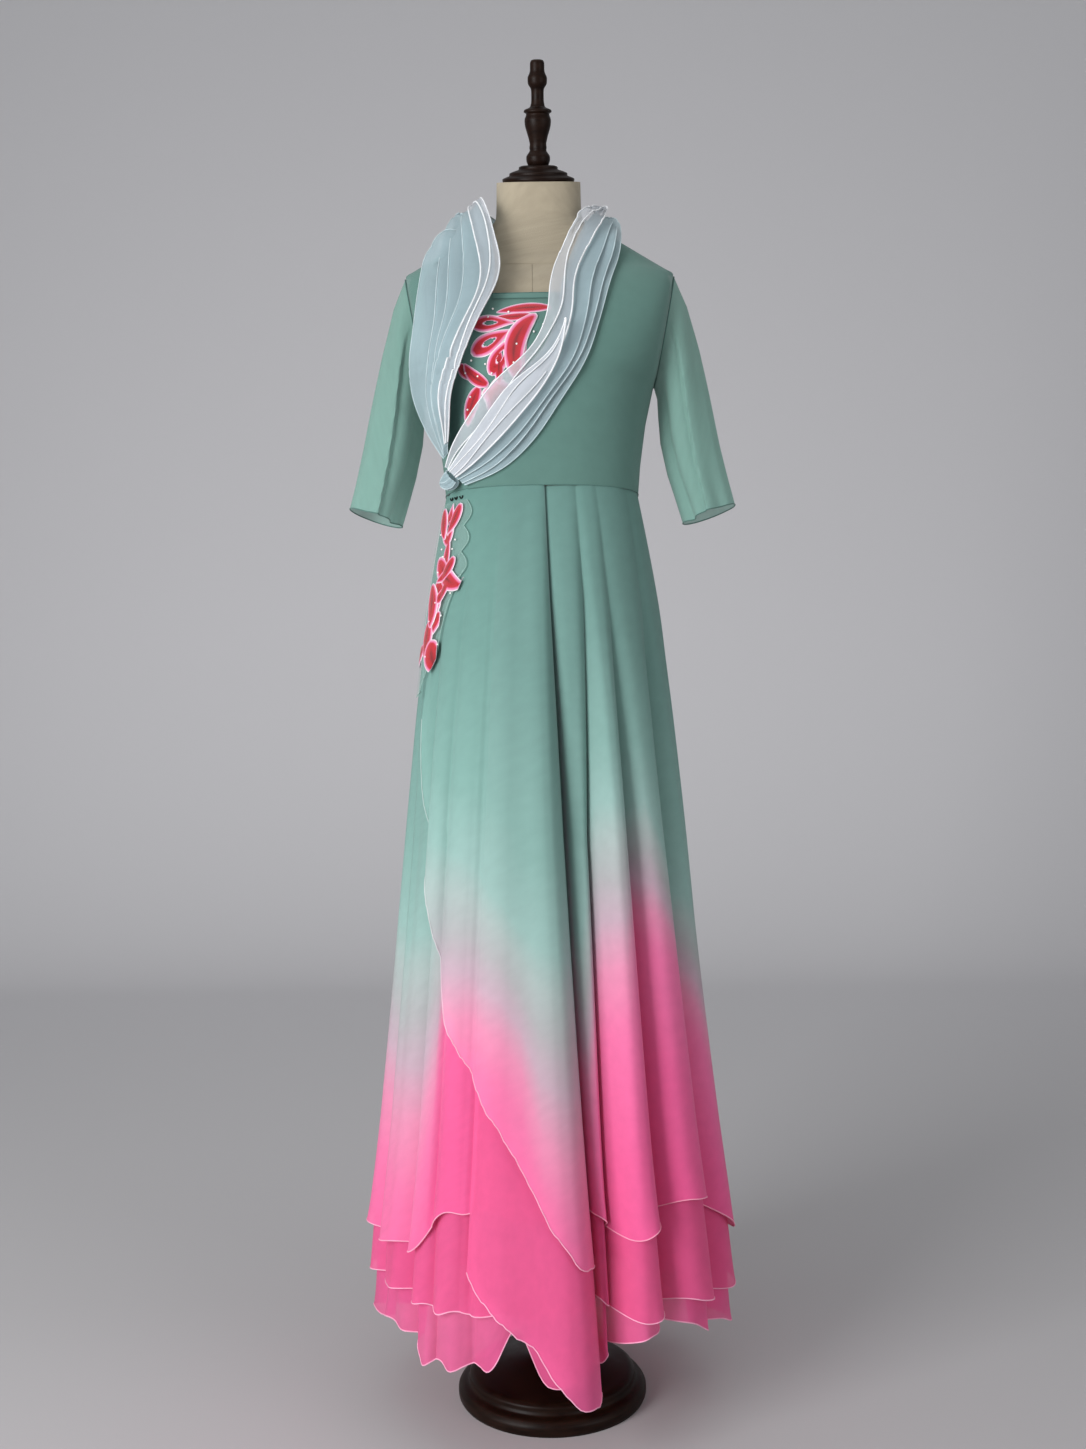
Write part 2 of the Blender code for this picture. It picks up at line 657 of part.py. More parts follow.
def cloth_wall(name, surface, columns, rows, finish, wraps=False, outward=1, holds=None):
    """Cloth of one thickness over surface(column, row), with each edge closed.

    wraps joins the last column to the first. outward is -1 where the surface's columns and
    rows give a normal that points inwards. holds(column, row) says which cells are cloth.
    """
    outer = {}
    inner = {}
    for i, column in enumerate(columns):
        for j, row in enumerate(rows):
            here = surface(column, row)
            step = TINY if row < rows[-1] else -TINY
            round_step = TINY if wraps or column < columns[-1] else -TINY
            along = (surface(column + round_step, row) - surface(column - TINY * wraps, row)) / round_step
            down = (surface(column, row + step) - here) / step
            normal = outward * along.cross(down).normalized()
            outer[i, j] = here
            inner[i, j] = here - CLOTH * normal
    count = len(columns)
    cells = []
    for i in range(count if wraps else count - 1):
        for j in range(len(rows) - 1):
            if holds is None or holds(i, j):
                cells.append(((i, j), ((i + 1) % count, j), ((i + 1) % count, j + 1), (i, j + 1)))
    order = sorted({corner for cell in cells for corner in cell})
    number = {corner: n for n, corner in enumerate(order)}
    total = len(order)
    points = [outer[corner] for corner in order] + [inner[corner] for corner in order]
    faces = []
    sides = {}
    for cell in cells:
        corners = [number[corner] for corner in cell]
        # Both surfaces are split along the same diagonal, so that the wall keeps its thickness
        for triangle in (corners[:3], [corners[0], *corners[2:]]):
            faces.append(triangle)
            faces.append([total + n for n in reversed(triangle)])
        for start, end in zip(corners, corners[1:] + corners[:1]):
            sides[start, end] = True
    for start, end in sides:
        if (end, start) not in sides:
            faces.append([end, start, start + total, end + total])
    return add_object(name, points, faces, finish)


def closed_tube(name, rings, finish):
    """A closed solid through rings of the same number of points, from the bottom up."""
    sides = len(rings[0])
    points = [point for ring in rings for point in ring]
    faces = [list(reversed(range(sides)))]
    for level in range(len(rings) - 1):
        for n in range(sides):
            here = level * sides + n
            after = level * sides + (n + 1) % sides
            faces.append([here, after, after + sides, here + sides])
    faces.append([(len(rings) - 1) * sides + n for n in range(sides)])
    return add_object(name, points, faces, finish)


def turned(name, profile, sides, place, finish):
    """A turned piece: its profile goes round its own axis, and place puts that axis in the part."""
    rings = []
    for row in profile:
        ring = []
        for n in range(sides):
            turn = 2 * math.pi * n / sides
            point = Vector((row.radius * math.cos(turn), row.radius * math.sin(turn), row.height))
            ring.append(place @ point)
        rings.append(ring)
    return closed_tube(name, rings, finish)


def build_form(finish):
    rings = []
    for row in FORM:
        lean = smooth_step((row.z - SHOULDER_NECK_Z) / (NECK_TOP_Z - SHOULDER_NECK_Z)) * NECK_TILT
        ring = []
        for n in range(FORM_SIDES):
            turn = 2 * math.pi * n / FORM_SIDES
            across = math.copysign(abs(math.cos(turn)) ** (2 / TORSO_POWER), math.cos(turn))
            along = math.copysign(abs(math.sin(turn)) ** (2 / TORSO_POWER), math.sin(turn))
            y = along * (row.back if along > 0 else row.front)
            ring.append(Vector((row.half_width * across, y * math.cos(lean), row.z + y * math.sin(lean))))
        rings.append(ring)
    closed_tube("form_torso", rings, finish)


def build_stand(wood, pole_metal):
    turned("form_base", BASE_PROFILE, BASE_SIDES, Matrix(), wood)
    pole = [
        Turning(POLE_RADIUS, BASE_PROFILE[-1].height + SEAM_GAP),
        Turning(POLE_RADIUS, FORM_BOTTOM_Z - SEAM_GAP),
    ]
    turned("form_pole", pole, POLE_SIDES, Matrix(), pole_metal)
    tilt = Matrix.Rotation(NECK_TILT, 4, "X")
    neck_top = Matrix.Translation((0, 0, NECK_TOP_Z)) @ tilt
    cap_place = neck_top @ Matrix.Translation((0, 0, SEAM_GAP))
    turned("form_neck_cap", CAP_PROFILE, CAP_SIDES, cap_place, wood)
    cap_top = CAP_PROFILE[-1].height + 2 * SEAM_GAP
    finial_place = neck_top @ Matrix.Translation((0, 0, cap_top))
    turned("form_finial", FINIAL_PROFILE, FINIAL_SIDES, finial_place, wood)


def build_bodice(finish, band_finish):
    """Front and back, each as columns from one side seam to the other."""
    neck_columns = 4
    side_columns = 6
    lower = [WAIST_Z + SEAM_GAP, 1.246, 1.285, UNDERARM_Z - 0.028, UNDERARM_Z, 1.390, 1.425]

    def place_x(column, z):
        """-1 and 1 are the neck edges, and -2 and 2 the side seams or armholes."""
        width = straight_value(BODICE, "z", "half_width", z)
        beyond = max(0.0, abs(column) - 1)
        if beyond == 0:
            return column * NECK_EDGE_X
        start = math.asin(min(1.0, NECK_EDGE_X / width) ** (TORSO_POWER / 2))
        turn = min(start + (math.pi / 2 - start) * beyond, math.pi - TINY)
        return math.copysign(width * abs(math.sin(turn)) ** (2 / TORSO_POWER), column)

    def panel(side):
        def surface(column, z):
            x = place_x(column, z)
            return Vector((x, bodice_y(x, z, side) + side * SEAM_GAP / 2, z))

        return surface

    columns = (
        spread(-2, -1, side_columns)[:-1] + spread(-1, 1, neck_columns) + spread(1, 2, side_columns)[1:]
    )
    for name, side, neckline in (
        ("bodice_front", -1, NECKLINE_Z),
        ("bodice_back", 1, BACK_NECKLINE_Z),
    ):
        rows = lower + [NECKLINE_Z, 1.480, SHOULDER_TIP_Z, 1.524, BACK_NECKLINE_Z, SHOULDER_NECK_Z]

        def holds(i, j, rows=rows, neckline=neckline):
            in_neck = side_columns <= i < side_columns + neck_columns
            return not in_neck or rows[j + 1] <= neckline + TINY

        cloth_wall(name, panel(side), columns, rows, finish, outward=-side, holds=holds)

    def band(column, z):
        x = column * (NECK_EDGE_X - BINDING_INSET)
        return Vector((x, bodice_y(x, z, -1) - BINDING_LIFT, z))

    band_top = NECKLINE_Z - BINDING_DROP
    band_rows = [band_top - BINDING_DEPTH, band_top]
    cloth_wall("neckline_binding", band, spread(-1, 1, BINDING_COLUMNS), band_rows, band_finish)


def build_sleeves(finish):
    columns = [360 * n / SLEEVE_SIDES for n in range(SLEEVE_SIDES)]
    for name, side in (("sleeve_left", -1), ("sleeve_right", 1)):

        def surface(column, row, side=side):
            return sleeve_point(side, column * side, row)

        cloth_wall(name, surface, columns, spread(0, 1, SLEEVE_ROWS), finish, wraps=True)


def build_skirt(green, pink):
    top = WAIST_Z - SEAM_GAP
    outer_levels = [top, 1.13, HIP_Z, 0.96, 0.86, KNEE_Z, 0.60, LAST_LEVEL_Z]
    inner_levels = [top, 1.13, HIP_Z, 0.96, 0.86, KNEE_Z, LAST_LEVEL_Z]

    def hanging(layer, behind, ends, levels):
        """A surface whose rows are the levels, and then the hem. They close up where the hem is high."""

        def surface(column, row):
            end = ends(column)
            scale = min(1.0, (top - end) / (top - OVERLAY_SCALE_Z))
            index = min(int(row), len(levels) - 1)
            high = top - (top - levels[index]) * scale
            low = top - (top - levels[index + 1]) * scale if index + 1 < len(levels) else end
            return skirt_point(column, high + (low - high) * (row - index), layer, behind)

        return surface

    all_round = spread(0, FOLDS, FOLDS * POINTS_PER_FOLD)[:-1]
    for tier, layer, levels, finish in (
        ("tier_1", 0, outer_levels, green),
        ("tier_2", 1, inner_levels, pink),
        ("tier_3", 2, inner_levels, pink),
    ):

        def ends(column, tier=tier):
            return hem_height(column, tier)

        surface = hanging(layer, 2, ends, levels)
        rows = range(len(levels) + 1)
        cloth_wall(f"skirt_{tier}", surface, all_round, rows, finish, wraps=True, outward=-1)

    for name, layer, start, edge, finish in (
        ("skirt_overlay_1", 0, OVERLAY_1_START, OVERLAY_1_EDGE, green),
        ("skirt_overlay_2", 1, OVERLAY_2_START, OVERLAY_2_EDGE, pink),
    ):
        columns = [n for n in all_round if n > start + 0.1]
        columns = [start, *columns, PLEAT - 0.02]

        def cut(column, edge=edge):
            return edge_height(edge, column)

        surface = hanging(layer, 0, cut, outer_levels)
        cloth_wall(name, surface, columns, range(len(outer_levels) + 1), finish, outward=-1)


def build_applique(finish):
    """The embroidered net on the left hip, over the first overlay and the side of the skirt."""

    def surface(column, row):
        bottom = edge_height(APPLIQUE_EDGE, column)
        z = APPLIQUE_TOP_Z + (bottom - APPLIQUE_TOP_Z) * row
        return skirt_point(column, z, APPLIQUE_LAYER)

    columns = spread(APPLIQUE_START, APPLIQUE_END, 8)
    cloth_wall("hip_applique", surface, columns, spread(0, 1, 5), finish, outward=-1)


def build_collars(blue, white):
    for rows, petals, outward in ((COLLAR_LEFT, PETALS_LEFT, -1), (COLLAR_RIGHT, PETALS_RIGHT, 1)):
        for petal in petals:

            def surface(across, along, rows=rows, petal=petal):
                return petal_point(rows, petal, along, across)

            finish = blue if "petal" in petal.name else white
            cloth_wall(petal.name, surface, spread(0, 1, 4), petal_rows(petal), finish, outward=-outward)


def build_knot(finish):
    rings = []
    for row in KNOT:
        centre, out, lift = knot_ring(row.along)
        ring = []
        for n in range(KNOT_SIDES):
            turn = 2 * math.pi * n / KNOT_SIDES
            ring.append(
                centre + out * (row.half_height * math.cos(turn)) + lift * (row.half_depth * math.sin(turn))
            )
        rings.append(ring)
    closed_tube("collar_knot", rings, finish)


def build_hooks(finish):
    for count, place in enumerate(HOOK_PLACES, 1):
        centre = skirt_point(place, HOOK_Z, 0)
        across = (skirt_point(place + 0.02, HOOK_Z, 0) - centre).normalized()
        out = across.cross(Vector((0, 0, 1)))
        centre = centre + out * (HOOK_WIRE + HOOK_LIFT)
        rings = []
        for step in range(HOOK_RINGS):
            turn = 2 * math.pi * (HOOK_START_TURN + HOOK_TURN * step / (HOOK_RINGS - 1))
            spoke = across * math.cos(turn) + Vector((0, 0, math.sin(turn)))
            ring = []
            for n in range(HOOK_SIDES):
                around = 2 * math.pi * n / HOOK_SIDES
                ring.append(
                    centre + spoke * (HOOK_RADIUS + HOOK_WIRE * math.cos(around))
                    + out * (HOOK_WIRE * math.sin(around))
                )
            rings.append(ring)
        closed_tube(f"hook_{count}", rings, finish)


def main():
    for thing in list(bpy.data.objects):
        bpy.data.objects.remove(thing, do_unlink=True)
    green = material("green_chiffon", (0.11, 0.30, 0.25), 0.7)
    sheer = material("sheer_green_chiffon", (0.16, 0.38, 0.32), 0.7)
    pink = material("pink_chiffon", (0.85, 0.12, 0.32), 0.7)
    blue = material("blue_grey_organza", (0.40, 0.55, 0.62), 0.5)
    white = material("white_organza", (0.75, 0.76, 0.80), 0.5)
    net = material("embroidered_net", (0.60, 0.05, 0.10), 0.7)
    linen = material("linen", (0.55, 0.47, 0.35), 0.9)
    wood = material("dark_turned_wood", (0.035, 0.018, 0.010), 0.35)
    pole_metal = material("dark_metal", (0.02, 0.02, 0.02), 0.4, 0.8)
    build_form(linen)
    build_stand(wood, pole_metal)
    build_bodice(green, green)
    build_sleeves(sheer)
    build_skirt(green, pink)
    build_applique(net)
    build_collars(blue, white)
    build_knot(blue)
    build_hooks(pole_metal)


main()
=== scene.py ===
"""The look of a layered chiffon dance dress on its dress form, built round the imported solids.

Metres, +Z up, the dress faces -Y, and "left" is the viewer's left. The cloth is drawn from the same
sizes as the solids, more finely, with its creases, rolled hems, cords, embroidery and pearls.
"""

import math
from collections import namedtuple

import bmesh
import bpy
from mathutils import Matrix, Vector, noise


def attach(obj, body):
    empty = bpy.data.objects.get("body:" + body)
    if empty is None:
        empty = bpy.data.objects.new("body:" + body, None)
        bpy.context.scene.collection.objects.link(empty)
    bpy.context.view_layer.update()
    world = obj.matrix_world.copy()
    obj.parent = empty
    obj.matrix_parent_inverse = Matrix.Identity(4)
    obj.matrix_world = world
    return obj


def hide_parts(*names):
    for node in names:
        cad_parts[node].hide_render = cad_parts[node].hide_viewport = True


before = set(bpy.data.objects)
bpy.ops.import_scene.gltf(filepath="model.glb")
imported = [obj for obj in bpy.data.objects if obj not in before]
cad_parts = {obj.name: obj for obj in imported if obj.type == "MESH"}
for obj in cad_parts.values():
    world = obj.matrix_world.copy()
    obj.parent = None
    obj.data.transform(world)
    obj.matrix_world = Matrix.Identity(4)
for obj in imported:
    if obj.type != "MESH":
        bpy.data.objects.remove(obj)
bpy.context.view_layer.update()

# Heights and thicknesses that drive the rest, in metres
CLOTH = 0.0011
SEAM_GAP = 0.0003
WAIST_Z = 1.2062
UNDERARM_Z = 1.352
SHOULDER_TIP_Z = 1.502
NECKLINE_Z = 1.452
BACK_NECKLINE_Z = 1.549
SHOULDER_NECK_Z = 1.568
NECK_EDGE_X = 0.062
NECK_TOP_Z = 1.632
NECK_TILT = math.radians(20)
FORM_BOTTOM_Z = 0.93

# Superellipse powers: the torso is a little squarer than the skirt
TORSO_POWER = 2.4
SKIRT_POWER = 2.05

# Outer surface of the bodice. drape_width is the half width of the smoother surface
# that the collar lies on.
Torso = namedtuple("Torso", "z half_width front back drape_width")
BODICE = [
    Torso(1.200, 0.1288, 0.100, 0.090, 0.1310),
    Torso(1.246, 0.1325, 0.108, 0.093, 0.1380),
    Torso(1.300, 0.1400, 0.121, 0.099, 0.1650),
    Torso(1.352, 0.1515, 0.127, 0.103, 0.1850),
    Torso(1.400, 0.1605, 0.120, 0.104, 0.1920),
    Torso(1.440, 0.1680, 0.106, 0.102, 0.1950),
    Torso(1.475, 0.1745, 0.088, 0.095, 0.1970),
    Torso(1.502, 0.1795, 0.070, 0.082, 0.2000),
    Torso(1.530, 0.1333, 0.061, 0.072, 0.2000),
    Torso(1.552, 0.0970, 0.057, 0.066, 0.2000),
    Torso(1.572, 0.0640, 0.055, 0.062, 0.2000),
    Torso(1.620, 0.0640, 0.055, 0.062, 0.2000),
]
ARMHOLE_HALF_DEPTH = 0.0475

# The bias strip that binds the front neckline: its height, its set-in at each end, and how far
# its outside stands off the bodice
BINDING_DEPTH = 0.0075
BINDING_DROP = 0.001
BINDING_INSET = 0.002
BINDING_LIFT = 0.002

# The dress form's own surface, from the hips to the neck
Form = namedtuple("Form", "z half_width front back")
FORM = [
    Form(FORM_BOTTOM_Z, 0.134, 0.106, 0.110),
    Form(1.000, 0.136, 0.106, 0.112),
    Form(1.060, 0.131, 0.100, 0.104),
    Form(1.130, 0.121, 0.092, 0.092),
    Form(1.206, 0.1150, 0.087, 0.079),
    Form(1.300, 0.1280, 0.105, 0.088),
    Form(1.352, 0.1400, 0.115, 0.093),
    Form(1.400, 0.1500, 0.109, 0.094),
    Form(1.440, 0.1570, 0.096, 0.092),
    Form(1.475, 0.1610, 0.079, 0.085),
    Form(1.500, 0.1610, 0.062, 0.072),
    Form(1.512, 0.1570, 0.057, 0.067),
    Form(1.522, 0.1430, 0.053, 0.062),
    Form(1.540, 0.1135, 0.050, 0.058),
    Form(1.556, 0.0860, 0.048, 0.055),
    Form(1.568, 0.0660, 0.047, 0.053),
    Form(1.582, 0.0580, 0.047, 0.052),
    Form(NECK_TOP_Z, 0.0565, 0.049, 0.050),
]

# Outline of the skirt's folds at their ridges, seen from the front and the side
SkirtRing = namedtuple("SkirtRing", "z half_width front back")
SKIRT = [
    SkirtRing(0.060, 0.2530, 0.252, 0.253),
    SkirtRing(0.220, 0.2465, 0.243, 0.246),
    SkirtRing(0.400, 0.2260, 0.220, 0.224),
    SkirtRing(0.550, 0.2100, 0.203, 0.207),
    SkirtRing(0.665, 0.1990, 0.190, 0.194),
    SkirtRing(0.780, 0.1880, 0.176, 0.181),
    SkirtRing(0.905, 0.1750, 0.158, 0.164),
    SkirtRing(0.980, 0.1660, 0.146, 0.153),
    SkirtRing(1.050, 0.1575, 0.134, 0.139),
    SkirtRing(1.130, 0.1440, 0.117, 0.119),
    SkirtRing(WAIST_Z, 0.1290, 0.101, 0.0905),
]

# Valleys between the skirt's folds, in degrees round from the front towards +X.
# hip and knee are the valley's depth as a share of the radius there. lean turns its bottom sideways,
# and crest is how far the fold after it is set back.
Valley = namedtuple("Valley", "waist_deg hem_deg hip knee lean_deg crest", defaults=(0,))
VALLEYS = [
    Valley(2, 16.5, 0.075, 0.26, 1.0, 0.17),
    Valley(24, 22.5, 0.070, 0.26, -0.8),
    Valley(37, 39, 0.030, 0.17, 1.0),
    Valley(60, 64, 0.030, 0.20, 1.0),
    Valley(84, 88, 0.020, 0.16, 0.6),
    Valley(107, 111, 0.030, 0.20, -0.8),
    Valley(132, 136, 0.040, 0.22, 1.0),
    Valley(157, 160, 0.035, 0.19, -1.0),
    Valley(182, 184, 0.045, 0.23, 0.8),
    Valley(207, 209, 0.035, 0.20, 1.0),
    Valley(231, 235, 0.040, 0.22, -0.8),
    Valley(254, 259, 0.030, 0.18, 0.8),
    Valley(277, 284, 0.015, 0.12, -0.6),
    Valley(298, 306, 0.015, 0.12, 1.0),
    Valley(314, 319, 0.018, 0.05, -1.0),
    Valley(332, 332, 0.012, 0.065, 0.6),
    Valley(348, 352, 0.015, 0.03, -0.6),
]
FOLDS = len(VALLEYS)
FOLD_SHARPNESS = 1.5
HIP_Z = 1.06
KNEE_Z = 0.76
HEM_Z = 0.20

# Room that one layer takes inwards, from the waist down
LayerStep = namedtuple("LayerStep", "z step")
LAYER_STEPS = [
    LayerStep(0.10, 0.0074),
    LayerStep(KNEE_Z, 0.0070),
    LayerStep(HIP_Z, 0.0032),
    LayerStep(WAIST_Z, 0.0017),
]

# Hems of the tiers that run all round, in degrees from the front
Hem = namedtuple("Hem", "deg tier_1 tier_2 tier_3")
HEMS = [
    Hem(0, 0.300, 0.190, 0.112),
    Hem(19, 0.300, 0.198, 0.116),
    Hem(24, 0.276, 0.182, 0.150),
    Hem(38, 0.292, 0.180, 0.168),
    Hem(44, 0.318, 0.196, 0.160),
    Hem(62, 0.296, 0.172, 0.132),
    Hem(78, 0.232, 0.168, 0.116),
    Hem(110, 0.250, 0.178, 0.104),
    Hem(150, 0.262, 0.172, 0.098),
    Hem(190, 0.246, 0.180, 0.104),
    Hem(230, 0.258, 0.172, 0.100),
    Hem(265, 0.240, 0.176, 0.112),
    Hem(290, 0.238, 0.184, 0.134),
    Hem(306, 0.250, 0.188, 0.140),
    Hem(312, 0.246, 0.186, 0.112),
    Hem(322, 0.302, 0.184, 0.118),
    Hem(336, 0.312, 0.190, 0.122),
    Hem(342, 0.312, 0.190, 0.128),
    Hem(347, 0.308, 0.194, 0.180),
    Hem(351, 0.302, 0.194, 0.176),
    Hem(355, 0.300, 0.190, 0.116),
    Hem(360, 0.300, 0.190, 0.112),
]

# Cut edges of the two front overlays: the height of the edge at each bearing
Edge = namedtuple("Edge", "deg z")
OVERLAY_1_EDGE = [
    Edge(-70, 0.950),
    Edge(-62, 0.800),
    Edge(-57, 0.727),
    Edge(-50, 0.672),
    Edge(-43, 0.608),
    Edge(-38, 0.535),
    Edge(-30, 0.487),
    Edge(-22, 0.442),
    Edge(-16, 0.412),
    Edge(-7, 0.358),
    Edge(0, 0.303),
    Edge(9, 0.252),
    Edge(18, 0.234),
]
OVERLAY_2_EDGE = [
    Edge(-31, 0.300),
    Edge(-27, 0.238),
    Edge(-21, 0.213),
    Edge(-13, 0.185),
    Edge(-4, 0.158),
    Edge(1, 0.122),
    Edge(9, 0.089),
    Edge(18, 0.083),
]
APPLIQUE_EDGE = [
    Edge(-86, 0.930),
    Edge(-70, 0.940),
    Edge(-62, 0.975),
    Edge(-54, 1.030),
    Edge(-46, 1.090),
]

# Where each overlay starts, counted in folds from the centre front pleat round to the right
PLEAT = float(FOLDS)
OVERLAY_1_START = 12.62
OVERLAY_2_START = 15.04
# The tiers drop back behind the overlays over this many folds, ending just after the first one's start
DROP_LEAD = 0.62
DROP_FOLDS = 0.5
APPLIQUE_START = 12.0
APPLIQUE_END = 14.0
APPLIQUE_TOP_Z = 1.192
APPLIQUE_LAYER = -1.15

# The sleeve as rings, each an ellipse between an outer and an inner point
SleeveRing = namedtuple("SleeveRing", "outer_x outer_z inner_x inner_z half_depth centre_y")
SLEEVE = [
    SleeveRing(0.1808, 1.5010, 0.1532, 1.3535, 0.0470, 0.000),
    SleeveRing(0.1975, 1.4600, 0.1572, 1.3380, 0.0490, -0.001),
    SleeveRing(0.2130, 1.4000, 0.1580, 1.3120, 0.0495, -0.002),
    SleeveRing(0.2270, 1.3350, 0.1605, 1.2780, 0.0500, -0.004),
    SleeveRing(0.2400, 1.2700, 0.1695, 1.2350, 0.0505, -0.006),
    SleeveRing(0.2500, 1.2250, 0.1800, 1.2000, 0.0515, -0.008),
    SleeveRing(0.2580, 1.1910, 0.1895, 1.1690, 0.0530, -0.010),
]
SLEEVE_FOLD_DEG = 78
SLEEVE_FOLD_WIDTH_DEG = 26
SLEEVE_FOLD_DEPTH = 0.009

# A collar's band of petals: its edge by the neck and its edge towards the arm.
# on_chest is 1 where the band lies on the chest, so that its y is worked out there.
Band = namedtuple("Band", "inner_x inner_y inner_z outer_x outer_y outer_z on_chest")
COLLAR_LEFT = [
    Band(-0.0002, 0.0640, 1.592, -0.0002, 0.0700, 1.545, 0),
    Band(-0.0400, 0.0500, 1.594, -0.0620, 0.0580, 1.552, 0),
    Band(-0.0640, 0.0120, 1.593, -0.1000, 0.0160, 1.557, 0),
    Band(-0.0650, -0.0240, 1.586, -0.1320, -0.0140, 1.542, 0),
    Band(-0.0580, -0.0550, 1.536, -0.1540, -0.0500, 1.496, 1),
    Band(-0.0500, -0.1000, 1.466, -0.1650, -0.0650, 1.410, 1),
    Band(-0.0800, -0.1100, 1.398, -0.1680, -0.0700, 1.364, 1),
    Band(-0.1040, -0.1100, 1.334, -0.1610, -0.0600, 1.325, 1),
    Band(-0.1100, -0.1000, 1.294, -0.1450, -0.0500, 1.284, 1),
    Band(-0.1160, -0.0800, 1.257, -0.1250, -0.0500, 1.250, 1),
]
COLLAR_RIGHT = [
    Band(0.0002, 0.0640, 1.592, 0.0002, 0.0700, 1.545, 0),
    Band(0.0400, 0.0500, 1.593, 0.0600, 0.0585, 1.553, 0),
    Band(0.0630, 0.0080, 1.588, 0.0930, 0.0160, 1.561, 0),
    Band(0.0580, -0.0340, 1.566, 0.1060, -0.0180, 1.555, 0),
    Band(0.0300, -0.0600, 1.511, 0.1020, -0.0600, 1.514, 1),
    Band(0.0140, -0.1000, 1.458, 0.0880, -0.0900, 1.464, 1),
    Band(0.0090, -0.1150, 1.411, 0.0780, -0.1000, 1.418, 1),
    Band(-0.0128, -0.1200, 1.367, 0.0600, -0.1100, 1.360, 1),
    Band(-0.0550, -0.1200, 1.333, 0.0250, -0.1200, 1.308, 1),
    Band(-0.0880, -0.1000, 1.292, -0.0120, -0.1100, 1.262, 1),
    Band(-0.1100, -0.0800, 1.258, -0.0560, -0.0900, 1.226, 1),
    Band(-0.1200, -0.0600, 1.233, -0.1080, -0.0700, 1.209, 1),
]

# The petals of a collar, from the lowest up. start and end count the rows of its band,
# inner and outer are shares of its width, and level counts the cloths below.
Petal = namedtuple("Petal", "name start end inner outer level waves")
PETALS_LEFT = [
    Petal("collar_left_petal_1", 3.45, 9.0, 0.30, 1.00, 0, -1.0),
    Petal("collar_left_petal_2", 2.90, 8.9, 0.22, 0.70, 1, 1.3),
    Petal("collar_left_petal_3", 2.30, 8.8, 0.14, 0.56, 2, 1.0),
    Petal("collar_left_petal_4", 0.00, 8.7, 0.06, 0.44, 3, 1.5),
    Petal("collar_left_inner", 1.90, 8.6, 0.00, 0.24, 4, 1.6),
]
PETALS_RIGHT = [
    Petal("collar_right_petal_1", 2.60, 10.74, 0.34, 1.00, 0, 1.4),
    Petal("collar_right_petal_2", 2.10, 10.74, 0.26, 0.88, 1, 1.2),
    Petal("collar_right_petal_3", 0.00, 10.74, 0.20, 0.74, 2, 1.6),
    Petal("collar_right_inner", 2.00, 10.7, 0.00, 0.44, 3, 2.2),
    Petal("collar_right_white", 6.30, 10.7, 0.22, 0.62, 4, 1.0),
]
PETAL_STEP = 0.0040
PETAL_CLEARANCE = 0.0028
PETAL_SEWN_STEP = 0.0017
PETAL_SEWN_CLEARANCE = 0.0028
SHOULDER_CLEARANCE = 0.002
PETAL_SEWN_ROWS = 1.6
PETAL_TIP = 0.55
PETAL_TIP_WIDTH = 0.25
PETAL_WAVE = 0.035
# Where across its width a petal's tip is, and how far before the band's end it lies sewn down
PETAL_TIP_SHARE = 0.35
PETAL_SEWN_END = 1.2

# Turned wood, as radius and height pairs from the bottom up, drawn along the part's own axis
Turning = namedtuple("Turning", "radius height")
BASE_PROFILE = [
    Turning(0.124, 0.0000),
    Turning(0.1262, 0.0040),
    Turning(0.1262, 0.0130),
    Turning(0.1215, 0.0190),
    Turning(0.1130, 0.0210),
    Turning(0.1110, 0.0250),
    Turning(0.1110, 0.0310),
    Turning(0.1060, 0.0350),
    Turning(0.0960, 0.0365),
    Turning(0.0600, 0.0430),
    Turning(0.0300, 0.0500),
    Turning(0.0240, 0.0580),
    Turning(0.0210, 0.0660),
]
CAP_PROFILE = [
    Turning(0.0478, 0.0000),
    Turning(0.0486, 0.0020),
    Turning(0.0486, 0.0045),
    Turning(0.0440, 0.0065),
    Turning(0.0392, 0.0080),
    Turning(0.0392, 0.0115),
    Turning(0.0330, 0.0140),
    Turning(0.0262, 0.0160),
    Turning(0.0262, 0.0195),
    Turning(0.0200, 0.0215),
]
FINIAL_PROFILE = [
    Turning(0.0140, 0.0000),
    Turning(0.0160, 0.0050),
    Turning(0.0160, 0.0110),
    Turning(0.0110, 0.0175),
    Turning(0.0117, 0.0215),
    Turning(0.0110, 0.0260),
    Turning(0.0125, 0.0330),
    Turning(0.0172, 0.0480),
    Turning(0.0178, 0.0560),
    Turning(0.0150, 0.0630),
    Turning(0.0188, 0.0650),
    Turning(0.0180, 0.0680),
    Turning(0.0100, 0.0710),
    Turning(0.0083, 0.0780),
    Turning(0.0083, 0.0930),
    Turning(0.0126, 0.0990),
    Turning(0.0130, 0.1070),
    Turning(0.0095, 0.1140),
    Turning(0.0095, 0.1250),
    Turning(0.0070, 0.1286),
]

# The knot that the right collar's petals end in, as rings along its own axis
Knot = namedtuple("Knot", "along half_height half_depth")
KNOT = [
    Knot(0.0000, 0.0115, 0.0066),
    Knot(0.0060, 0.0128, 0.0078),
    Knot(0.0130, 0.0108, 0.0066),
    Knot(0.0190, 0.0060, 0.0042),
    Knot(0.0215, 0.0020, 0.0015),
]
KNOT_PLACE = 10.8
KNOT_GAP = -0.0002
KNOT_LIFT = 0.0085
# How far the knot bends from its start to its tip, towards the side and away from the waist
KNOT_BEND = math.radians(60)
KNOT_BEND_SIDEWAYS = 0.75
KNOT_BEND_OUTWARDS = 0.66

TINY = 1e-3


